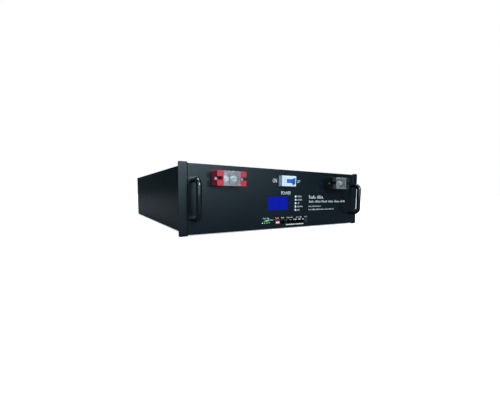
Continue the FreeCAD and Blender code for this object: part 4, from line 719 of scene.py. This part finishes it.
# %% Inner pieces keep their design shapes
kept(blue_film, "front_cells", "rear_cells")
kept(board_paper, "cell_spacers", "cell_pad")
kept(milled, "cell_end_plates", "heat_sink")
kept(copper, "cell_links")
kept(bright_zinc, "cell_bands", "breaker_strap", "handle_screws")
kept(brass, "board_posts")
kept(lacquer, "management_board", "control_boards")
kept(black_nylon, "power_transistors", "display_module", "power_button_nut")
kept(red_silicone, "positive_leads")
kept(black_silicone, "negative_leads")

# %% [markdown]
# **Carrying handles** are round steel bar bent twice into a staple, so they are made the same way: a
# disc is pushed out from the panel, spun round the first bend, pushed along the grip, spun round the
# second bend, and pushed back to the panel. The bar's thickness and reach come from the design node.

# %% Bent bar handles
GRIP_BEND = 12 * MM
STEPS_IN_BEND = 12
ROUND_BAR = 40
QUARTER = math.pi / 2


def push(x=0.0, y=0.0, z=0.0):
    """Extrude whatever is selected by a distance in mm."""
    bpy.ops.mesh.extrude_region_move(TRANSFORM_OT_translate={"value": (x * MM, y * MM, z * MM)})


def bend(centre):
    """Spin the end of the bar a quarter turn round a point."""
    bpy.ops.mesh.spin(steps=STEPS_IN_BEND, angle=QUARTER, center=centre, axis=(-1, 0, 0))


def closed_shell(piece):
    """Merge doubled corners, close any open ring, and point the faces outwards."""
    alone(piece)
    edit_all()
    bpy.ops.mesh.remove_doubles(threshold=SAME_CORNER)
    bpy.ops.mesh.fill_holes(sides=0)
    bpy.ops.mesh.select_all(action="SELECT")
    bpy.ops.mesh.normals_make_consistent(inside=False)
    leave_edit()
    return piece


def bent_handle(name, node):
    """A staple of round bar between a node's two feet."""
    low, high = corners_of(frame["nodes"][node].data)
    radius = (high[0] - low[0]) / 2
    middle = (high[0] + low[0]) / 2
    post_z, grip_y = high[2] - radius, low[1] + radius
    bpy.ops.mesh.primitive_circle_add(vertices=ROUND_BAR, radius=radius, fill_type="NGON",
                                      location=(middle, high[1], post_z), rotation=(QUARTER, 0, 0))
    bar = settle(named(name))
    edit_all()
    push(y=(grip_y + GRIP_BEND - high[1]) / MM)
    bend((middle, grip_y + GRIP_BEND, post_z - GRIP_BEND))
    push(z=-2 * (post_z - GRIP_BEND) / MM)
    bend((middle, grip_y + GRIP_BEND, GRIP_BEND - post_z))
    push(y=(high[1] - grip_y - GRIP_BEND) / MM)
    leave_edit()
    print(name, "bar", round(2 * radius / MM, 2), "mm, feet at z", round(post_z / MM, 2))
    return finished(closed_shell(bar), enamel, node, [node])


bent_handle("left_bent_handle", "left_handle")
bent_handle("right_bent_handle", "right_handle")

# %% [markdown]
# **Terminal studs** are nickel-plated steel bolts with a rolled thread. A thread this fine reads as
# rings, so a disc is pushed forward half a pitch at a time, and swells and narrows by turns. Both ends
# are cut small, as the lead-in of a real stud is. One stud is made and copied to the four places.

# %% Threaded studs
THREAD_PITCH = 1.0
THREAD_DEPTH = 0.6
LEAD_IN = 0.8
TIP_STEP = 0.3
ROUND_STUD = 28


def threaded_bar(name, start, length_mm, radius_mm):
    """A ringed bar along +Y from a point, with a lead-in at both ends."""
    core = radius_mm - THREAD_DEPTH
    tip = core - TIP_STEP
    bpy.ops.mesh.primitive_circle_add(vertices=ROUND_STUD, radius=tip * MM, fill_type="NGON",
                                      location=start, rotation=(QUARTER, 0, 0))
    bar = settle(named(name))
    edit_all()
    now = tip
    gone = 0.0

    def ring(forward, wanted):
        nonlocal now, gone
        push(y=forward)
        bpy.ops.transform.resize(value=(wanted / now, 1, wanted / now), center_override=(
            start[0], start[1] + (gone + forward) * MM, start[2]))
        now, gone = wanted, gone + forward

    ring(LEAD_IN, core)
    while gone + THREAD_PITCH + LEAD_IN < length_mm:
        ring(THREAD_PITCH / 2, radius_mm)
        ring(THREAD_PITCH / 2, core)
    ring(length_mm - gone, tip)
    leave_edit()
    return closed_shell(bar)


def copies_of(master, name, places):
    """Copies of a piece, each with its own mesh moved to its place; the master goes away."""
    copies = []
    for i, place in enumerate(places):
        piece = bpy.data.objects.new(f"{name}_{i}", master.data.copy())
        bpy.context.scene.collection.objects.link(piece)
        piece.data.transform(place)
        copies.append(piece)
    bpy.data.objects.remove(master)
    return copies


def middle_of(box):
    return (box[0] + box[1]) / 2


stud_boxes = solids_of("terminal_studs")
first_low, first_high = stud_boxes[0]
first_spot = middle_of(stud_boxes[0])
stud = threaded_bar("stud_master", (first_spot.x, first_low.y, first_spot.z),
                    (first_high.y - first_low.y) / MM, (first_high.x - first_low.x) / 2 / MM)
studs = copies_of(stud, "stud", [Matrix.Translation(middle_of(box) - first_spot) for box in stud_boxes])
finished(joined("threaded_studs", studs), nickel, "terminal_studs", ["terminal_studs"])
print("studs:", len(stud_boxes))

# %% [markdown]
# **Case screws** are flat-headed, with a cross recess, and sit flush in the sheet. The head is a cone
# under a disc. The recess is cut by a cross of two tapered blades with a boolean, as a punch would.
# One screw is made pointing up, and each copy is turned to face out of its own side of the case.

# %% Cross-recess screws
RECESS_REACH = 0.62
RECESS_DEPTH = 1.3
RECESS_WIDE = 1.2
BLADE_TAPER = 0.45
ROUND_HEAD = 36
HEAD_RIM = 0.35
HEAD_CONE = 0.45
SHANK_SHARE = 0.5
HEAD_EDGE = 0.12


def blade(name, reach_mm, wide_mm, deep_mm, turn_z):
    """A tapered blade of the punch, standing on the screw's face."""
    bpy.ops.mesh.primitive_cube_add(size=1, location=(0, 0, 0), rotation=(0, 0, turn_z))
    tool = named(name)
    tool.scale = (2 * reach_mm * MM, wide_mm * MM, 2 * deep_mm * MM)
    settle(tool)
    pick_faces(tool, lambda face: face.normal.z < -0.9)
    bpy.ops.transform.resize(value=(BLADE_TAPER, BLADE_TAPER, 1), center_override=(0, 0, -deep_mm * MM))
    leave_edit()
    return tool


def flat_screw(name, radius_mm, length_mm):
    """A flush screw at the origin: its face looks up, and its shank goes down."""
    bpy.ops.mesh.primitive_circle_add(vertices=ROUND_HEAD, radius=radius_mm * MM, fill_type="NGON")
    screw = settle(named(name))
    edit_all()
    push(z=-HEAD_RIM)
    push(z=-radius_mm * HEAD_CONE)
    bpy.ops.transform.resize(value=(SHANK_SHARE, SHANK_SHARE, 1), center_override=(0, 0, 0))
    push(z=HEAD_RIM + radius_mm * HEAD_CONE - length_mm)
    leave_edit()
    closed_shell(screw)
    reach = radius_mm * RECESS_REACH
    for turn_z in (0.0, QUARTER):
        punch = blade("punch", reach, RECESS_WIDE, RECESS_DEPTH, turn_z)
        shaped(screw, "BOOLEAN", object=punch, operation="DIFFERENCE", solver="EXACT")
        bpy.data.objects.remove(punch)
    return rounded(screw, HEAD_EDGE)


def screws_on(node, name, radius_mm, way_out):
    """One screw copied to every solid of a node, turned by a rule from the solid's middle."""
    boxes = solids_of(node)
    low, high = boxes[0]
    length = abs((high - low).dot(way_out(middle_of(boxes[0]))))
    places = []
    for box in boxes:
        out = way_out(middle_of(box))
        places.append(Matrix.Translation(middle_of(box) + out * length / 2)
                      @ out.to_track_quat("Z", "Y").to_matrix().to_4x4())
    screw = flat_screw("screw_master", radius_mm, length / MM)
    print(name, len(boxes), "screws,", round(length / MM, 2), "mm long")
    finished(joined(name, copies_of(screw, name, places)), black_zinc, node, [node])


def up_or_down(centre):
    return Vector((0, 0, math.copysign(1, centre.z)))


def left_or_right(centre):
    return Vector((math.copysign(1, centre.x), 0, 0))


screws_on("case_screws", "case_flat_screws", radius_mm=3.8, way_out=up_or_down)
screws_on("ear_screws", "ear_flat_screws", radius_mm=4.75, way_out=left_or_right)

# %% [markdown]
# **Menu buttons** are small white moulded caps with a shallow dish for the fingertip. A disc is pushed
# out to the cap's length, and its front face is inset four times, each ring a little deeper, which
# draws the dish. The power button is the same cap, larger and darker, behind its green ring.

# %% Dished buttons
ROUND_CAP = 40
FRONT_LAYER = 1.5 * MM
CLEARLY_WIDER = 0.1 * MM
DISH_STEPS = (0.1, 0.3, 0.35, 0.25)
DISH_RING = 0.2
RIM_EDGE = 0.1


def dished_cap(name, node, material, dish_mm, edge_mm):
    """A round cap with a dished front and the flange behind it that keeps it in the panel."""
    low, high = (Vector(corner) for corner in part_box(node))
    centre = (low + high) / 2
    spots = [vertex.co for vertex in frame["nodes"][node].data.vertices]
    cap_radius = max(spot.x for spot in spots if spot.y < low.y + FRONT_LAYER) - centre.x
    flange = [spot.y for spot in spots if abs(spot.x - centre.x) > cap_radius + CLEARLY_WIDER]
    bpy.ops.mesh.primitive_cylinder_add(vertices=ROUND_CAP, radius=cap_radius, depth=high.y - low.y,
                                        location=centre, rotation=(QUARTER, 0, 0))
    cap = settle(named(name))
    rounded(cap, edge_mm, 3)
    pick_faces(cap, lambda face: face.normal.y < -0.99 and len(face.vertices) > 8)
    for share in DISH_STEPS:
        bpy.ops.mesh.inset(thickness=cap_radius * DISH_RING)
        bpy.ops.transform.translate(value=(0, dish_mm * share * MM, 0))
    leave_edit()
    if not flange:
        return finished(cap, material, node, [node])
    flange_radius = max(abs(spot.x - centre.x) for spot in spots)
    thick = max(flange) - min(flange)
    bpy.ops.mesh.primitive_cylinder_add(vertices=ROUND_CAP, radius=flange_radius, depth=thick,
                                        location=(centre.x, min(flange) + thick / 2, centre.z),
                                        rotation=(QUARTER, 0, 0))
    rim = rounded(settle(named("rim")), RIM_EDGE)
    print(name, [round(2 * radius / MM, 2) for radius in (cap_radius, flange_radius)], "mm across")
    return finished(joined(name, [cap, rim]), material, node, [node])


for word in ("menu", "enter", "up", "down", "escape"):
    dished_cap(f"{word}_dished_cap", f"{word}_button", white_plastic, dish_mm=0.35, edge_mm=0.3)
dished_cap("power_dished_cap", "power_button", black_nylon, dish_mm=0.5, edge_mm=0.35)

# %% [markdown]
# **Slot caps** close the four rack slots until the battery is bolted in: thin black mouldings that
# press in from the front and sit flush. A disc is stretched into the slot's long shape by moving its
# two halves apart, then given its thickness. Each is smaller than its slot by a hair all round.

# %% Press-in slot caps
SLOT_LONG, SLOT_WIDE = 10.3, 6.8
CAP_GAP = 0.05
CAP_DEPTH = 1.6
CAP_EDGE = 0.15
EAR_FACE_Y = -2.0 * MM
mount = next(entry for entry in frame["record"]["mounts"] if entry["name"] == "rack_slots")
across, upward = (mount["dims"][f"spacing_{way}_mm"] * MM / 2 for way in "xy")


def slot_cap(name):
    """A flush cap on the middle line, from the ears' front face most of the way through."""
    bpy.ops.mesh.primitive_circle_add(vertices=ROUND_HEAD, radius=(SLOT_WIDE / 2 - CAP_GAP) * MM,
                                      fill_type="NGON", location=(0, EAR_FACE_Y, 0),
                                      rotation=(QUARTER, 0, 0))
    cap = settle(named(name))
    for vertex in cap.data.vertices:
        vertex.co.x += math.copysign((SLOT_LONG - SLOT_WIDE) / 2 * MM, vertex.co.x)
    edit_all()
    push(y=CAP_DEPTH)
    leave_edit()
    closed_shell(cap)
    return rounded(cap, CAP_EDGE)


slots = [Matrix.Translation((side * across, 0, row * upward)) for side in (-1, 1) for row in (-1, 1)]
finished(joined("slot_caps", copies_of(slot_cap("cap_master"), "cap", slots)), powder, "left_rack_ear")
print("slot caps:", len(slots), "at x", round(across / MM, 2), "and z", round(upward / MM, 2), "mm")

# %% [markdown]
# **Socket contacts** are the eight gilded spring wires in each network socket. They come out of the
# roof of the socket and slope back and down. One wire is a small square bar pushed out in three runs,
# and it is copied eight times across each of the four sockets.

# %% Gold spring contacts
SOCKET_MIDDLES = (5.2, 17.4, 32.4, 44.6)
WIRES_IN_SOCKET = 8
WIRE_PITCH = 1.02
WIRE_THICK = 0.4
WIRE_START = (3.0, -49.2)
WIRE_RUNS = ((0.0, -1.2), (7.0, -2.2), (1.2, -0.3))


def contact_wire(name):
    """One spring wire on the middle line that slopes back into a socket."""
    bpy.ops.mesh.primitive_plane_add(size=WIRE_THICK * MM,
                                     location=(0, WIRE_START[0] * MM, WIRE_START[1] * MM))
    wire = settle(named(name))
    edit_all()
    for run_y, run_z in WIRE_RUNS:
        push(y=run_y, z=run_z)
    leave_edit()
    return closed_shell(wire)


places = []
for middle in SOCKET_MIDDLES:
    for i in range(WIRES_IN_SOCKET):
        aside = (i - (WIRES_IN_SOCKET - 1) / 2) * WIRE_PITCH
        places.append(Matrix.Translation(((middle + aside) * MM, 0, 0)))
wires = copies_of(contact_wire("wire_master"), "wire", places)
finished(joined("socket_contacts", wires), gold, "network_jacks")
print("contact wires:", len(wires))

# %% [markdown]
# **Printed marks** are white ink, screen-printed on the powder coat. The plain words that any breaker
# and menu carry are set with Blender's own font, made into a mesh, and given the thickness of a film
# of ink. The maker's printing is left out: plain small bars stand where lines of small print go.

# %% Printed words
INK_FACE_Y = -2.0
INK_THICK = 0.03
CAPITAL_SHARE = 0.7
LETTER_THINNING = -0.01
LETTER_STEPS = 3
PANEL_WORDS = (  # word, left end, middle height and capitals' height in mm, share of its full width
    ("ON", -39.5, 39.6, 8.6, 0.6),
    ("OFF", 29.0, 39.8, 6.0, 0.62),
    ("POWER", -16.5, 13.5, 7.2, 0.78),
)
BUTTON_WORDS = {"menu": "MENU", "enter": "ENTER", "up": "UP", "down": "DOWN", "escape": "ESC"}
BUTTON_WORD_LEFT, BUTTON_WORD_TALL, BUTTON_WORD_SHARE = 31.6, 3.4, 0.95

ink = grained_material(
    "white_screen_ink", {"IOR": 1.5}, ("E4E8E8", "F6F8F8"),
    grain_mm=0.5, bump_mm=0.004, roughness=(0.45, 0.6), cloud_mm=9)
grey_ink = grained_material(
    "grey_screen_ink", {"IOR": 1.5}, ("6E7678", "828A8D"),
    grain_mm=0.5, bump_mm=0.004, roughness=(0.45, 0.6), cloud_mm=9)


def printed_word(word, x_mm, z_mm, tall_mm, wide_share):
    """A word on the panel: its left end, its middle height and its capitals' height."""
    bpy.ops.object.text_add()
    line = bpy.context.object
    line.data.body = word
    line.data.size = tall_mm * MM / CAPITAL_SHARE
    line.data.extrude = INK_THICK * MM / 2
    line.data.offset = LETTER_THINNING * line.data.size
    line.data.resolution_u = LETTER_STEPS
    alone(line)
    bpy.ops.object.convert(target="MESH")
    line = named("print_" + word.lower())
    line.scale = (wide_share, 1, 1)
    line.rotation_euler = (QUARTER, 0, 0)
    line.location = (x_mm * MM, (INK_FACE_Y - INK_THICK / 2) * MM, (z_mm - tall_mm / 2) * MM)
    return settle(line)


words = [printed_word(*entry) for entry in PANEL_WORDS]
for button, word in BUTTON_WORDS.items():
    low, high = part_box(f"{button}_button")
    words.append(printed_word(word, BUTTON_WORD_LEFT, (low[2] + high[2]) / 2 / MM,
                              BUTTON_WORD_TALL, BUTTON_WORD_SHARE))
print("printed words:", len(words))
finished(joined("printed_words", words), ink, "front_panel")

# %% [markdown]
# **Lines of small print** are drawn as rows of short upright strokes, the way a printer's mock-up shows
# text that isn't settled yet. Every few strokes there is a gap, like the gap between words, and some
# strokes are taller, like capitals. A small rule picks them, so no two words in a row are alike.

# %% Rows of small print
BAR_EDGE = 0.008
PITCH_SHARE = 0.62
STROKE_SHARE = 0.3
SMALL_LETTER = 0.66
FOOT_DROP, FOOT_LONG, FOOT_TALL = 0.42, 0.45, 0.15
SMALL_PRINT = (  # left end, middle height, length and height of each line in mm
    (68, 5.0, 50, 7.0), (68, -5.5, 129, 5.2), (67, -17, 42, 3.0), (67, -24.5, 89, 3.2))
PORT_LEGENDS = (  # left end, middle height and length in mm
    (-30, -40.8, 11), (-14, -40.8, 9), (1, -40.8, 20), (29, -40.8, 19), (54, -40.8, 9),
    (-63, -40.8, 18), (-45, -44.5, 13))
LEGEND_TALL = 2.7
BREAKER_FACE_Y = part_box("breaker_body")[0][1]
RATING_LEFT, RATING_LOWEST, RATING_STEP, RATING_LONG, RATING_TALL = -15.5, 33, 3.0, 5.5, 1.7
RATING_LINES = 5


def printed_bar(x_mm, z_mm, long_mm, tall_mm, face_y_mm):
    """A plain bar of ink: its left end, its middle height, its length and its height."""
    bpy.ops.mesh.primitive_cube_add(size=MM, location=(
        (x_mm + long_mm / 2) * MM, (face_y_mm - INK_THICK / 2) * MM, z_mm * MM))
    bar = named("bar")
    bar.scale = (long_mm, INK_THICK, tall_mm)
    settle(bar)
    bar.data.validate()
    return shaped(bar, "BEVEL", width=BAR_EDGE * MM, segments=1)


def greeked_line(x_mm, z_mm, long_mm, tall_mm, face_y_mm=INK_FACE_Y):
    """A row of small strokes, like letters in a line of text, standing on one base line."""
    pitch = tall_mm * PITCH_SHARE
    stroke = pitch * STROKE_SHARE
    strokes = []
    for i in range(int(long_mm / pitch)):
        is_gap, is_capital, has_foot = i % 7 == 5, i % 7 == 0 or i % 5 == 3, i % 3
        if is_gap:
            continue
        tall = tall_mm if is_capital else tall_mm * SMALL_LETTER
        left = x_mm + i * pitch
        strokes.append(printed_bar(left, z_mm - (tall_mm - tall) / 2, stroke, tall, face_y_mm))
        if has_foot:
            strokes.append(printed_bar(left + stroke, z_mm - tall_mm * FOOT_DROP, pitch * FOOT_LONG,
                                       tall_mm * FOOT_TALL, face_y_mm))
    return strokes


rows = [bar for line in SMALL_PRINT for bar in greeked_line(*line)]
print("strokes of small print:", len(rows))
finished(joined("printed_small_text", rows), ink, "front_panel")
legends = [bar for place in PORT_LEGENDS for bar in greeked_line(*place, LEGEND_TALL)]
finished(joined("printed_port_legends", legends), ink, "front_panel")
ratings = []
for row in range(RATING_LINES):
    ratings += greeked_line(RATING_LEFT, RATING_LOWEST + row * RATING_STEP, RATING_LONG, RATING_TALL,
                            BREAKER_FACE_Y / MM)
finished(joined("printed_breaker_marks", ratings), grey_ink, "breaker_body")

# %% [markdown]
# **The charge wedge** beside the lamps is a long thin triangle, green and rising to the right, which
# tells which lamp means full, with a thin white one above it. Each is a flat triangle of ink: a
# three-sided disc pushed out a little.

# %% Charge wedge
GREEN_WEDGE = ((-62.3, -47.6), (-47.6, -45.2), (-47.6, -47.0))
WHITE_WEDGE = ((-62.3, -47.3), (-47.6, -43.6), (-47.6, -44.9))


def ink_triangle(name, corners_mm):
    """A flat triangle of ink on the panel."""
    bpy.ops.mesh.primitive_circle_add(vertices=3, radius=MM, fill_type="NGON",
                                      rotation=(QUARTER, 0, 0))
    mark = settle(named(name))
    for vertex, (x_mm, z_mm) in zip(mark.data.vertices, corners_mm):
        vertex.co = (x_mm * MM, INK_FACE_Y * MM, z_mm * MM)
    edit_all()
    push(y=-INK_THICK)
    leave_edit()
    return closed_shell(mark)


green_ink = grained_material(
    "green_screen_ink", {"IOR": 1.5}, ("4FAE57", "6CC46F"),
    grain_mm=0.5, bump_mm=0.004, roughness=(0.45, 0.6), cloud_mm=9)
finished(ink_triangle("charge_wedge", GREEN_WEDGE), green_ink, "front_panel")
finished(ink_triangle("charge_wedge_upper", WHITE_WEDGE), ink, "front_panel")
print("the wedge is", round(GREEN_WEDGE[1][0] - GREEN_WEDGE[0][0], 1), "mm long")

# %% [markdown]
# ** The breaker's dot** is a small yellow-green window in its face that shows its state. It is a short rod with a softened rim, set flush with the face. Its plastic has a faint painted glow, though no lamp lies behind it.

# %% The breaker's dot
DOT_RADIUS, DOT_DEPTH, DOT_EDGE = 1.0, 0.6, 0.1
DOT_X, DOT_Z = -2.2, 44.6

bpy.ops.mesh.primitive_cylinder_add(
    vertices=ROUND_STUD, radius=DOT_RADIUS * MM, depth=DOT_DEPTH * MM, rotation=(QUARTER, 0, 0),
    location=(DOT_X * MM, BREAKER_FACE_Y + DOT_DEPTH / 2 * MM, DOT_Z * MM))
dot = rounded(settle(named("breaker_dot")), DOT_EDGE)
# A faint painted glow: no lamp lies behind the breaker's window.
glowing_dot_plastic = lamp_plastic("green_indicator_painted_glow", ("8AA81C", "A8C42A"), glow="9AC41E", strength=0.1)
finished(dot, glowing_dot_plastic, "breaker_body")
print("breaker dot:", DOT_RADIUS * 2, "mm across")
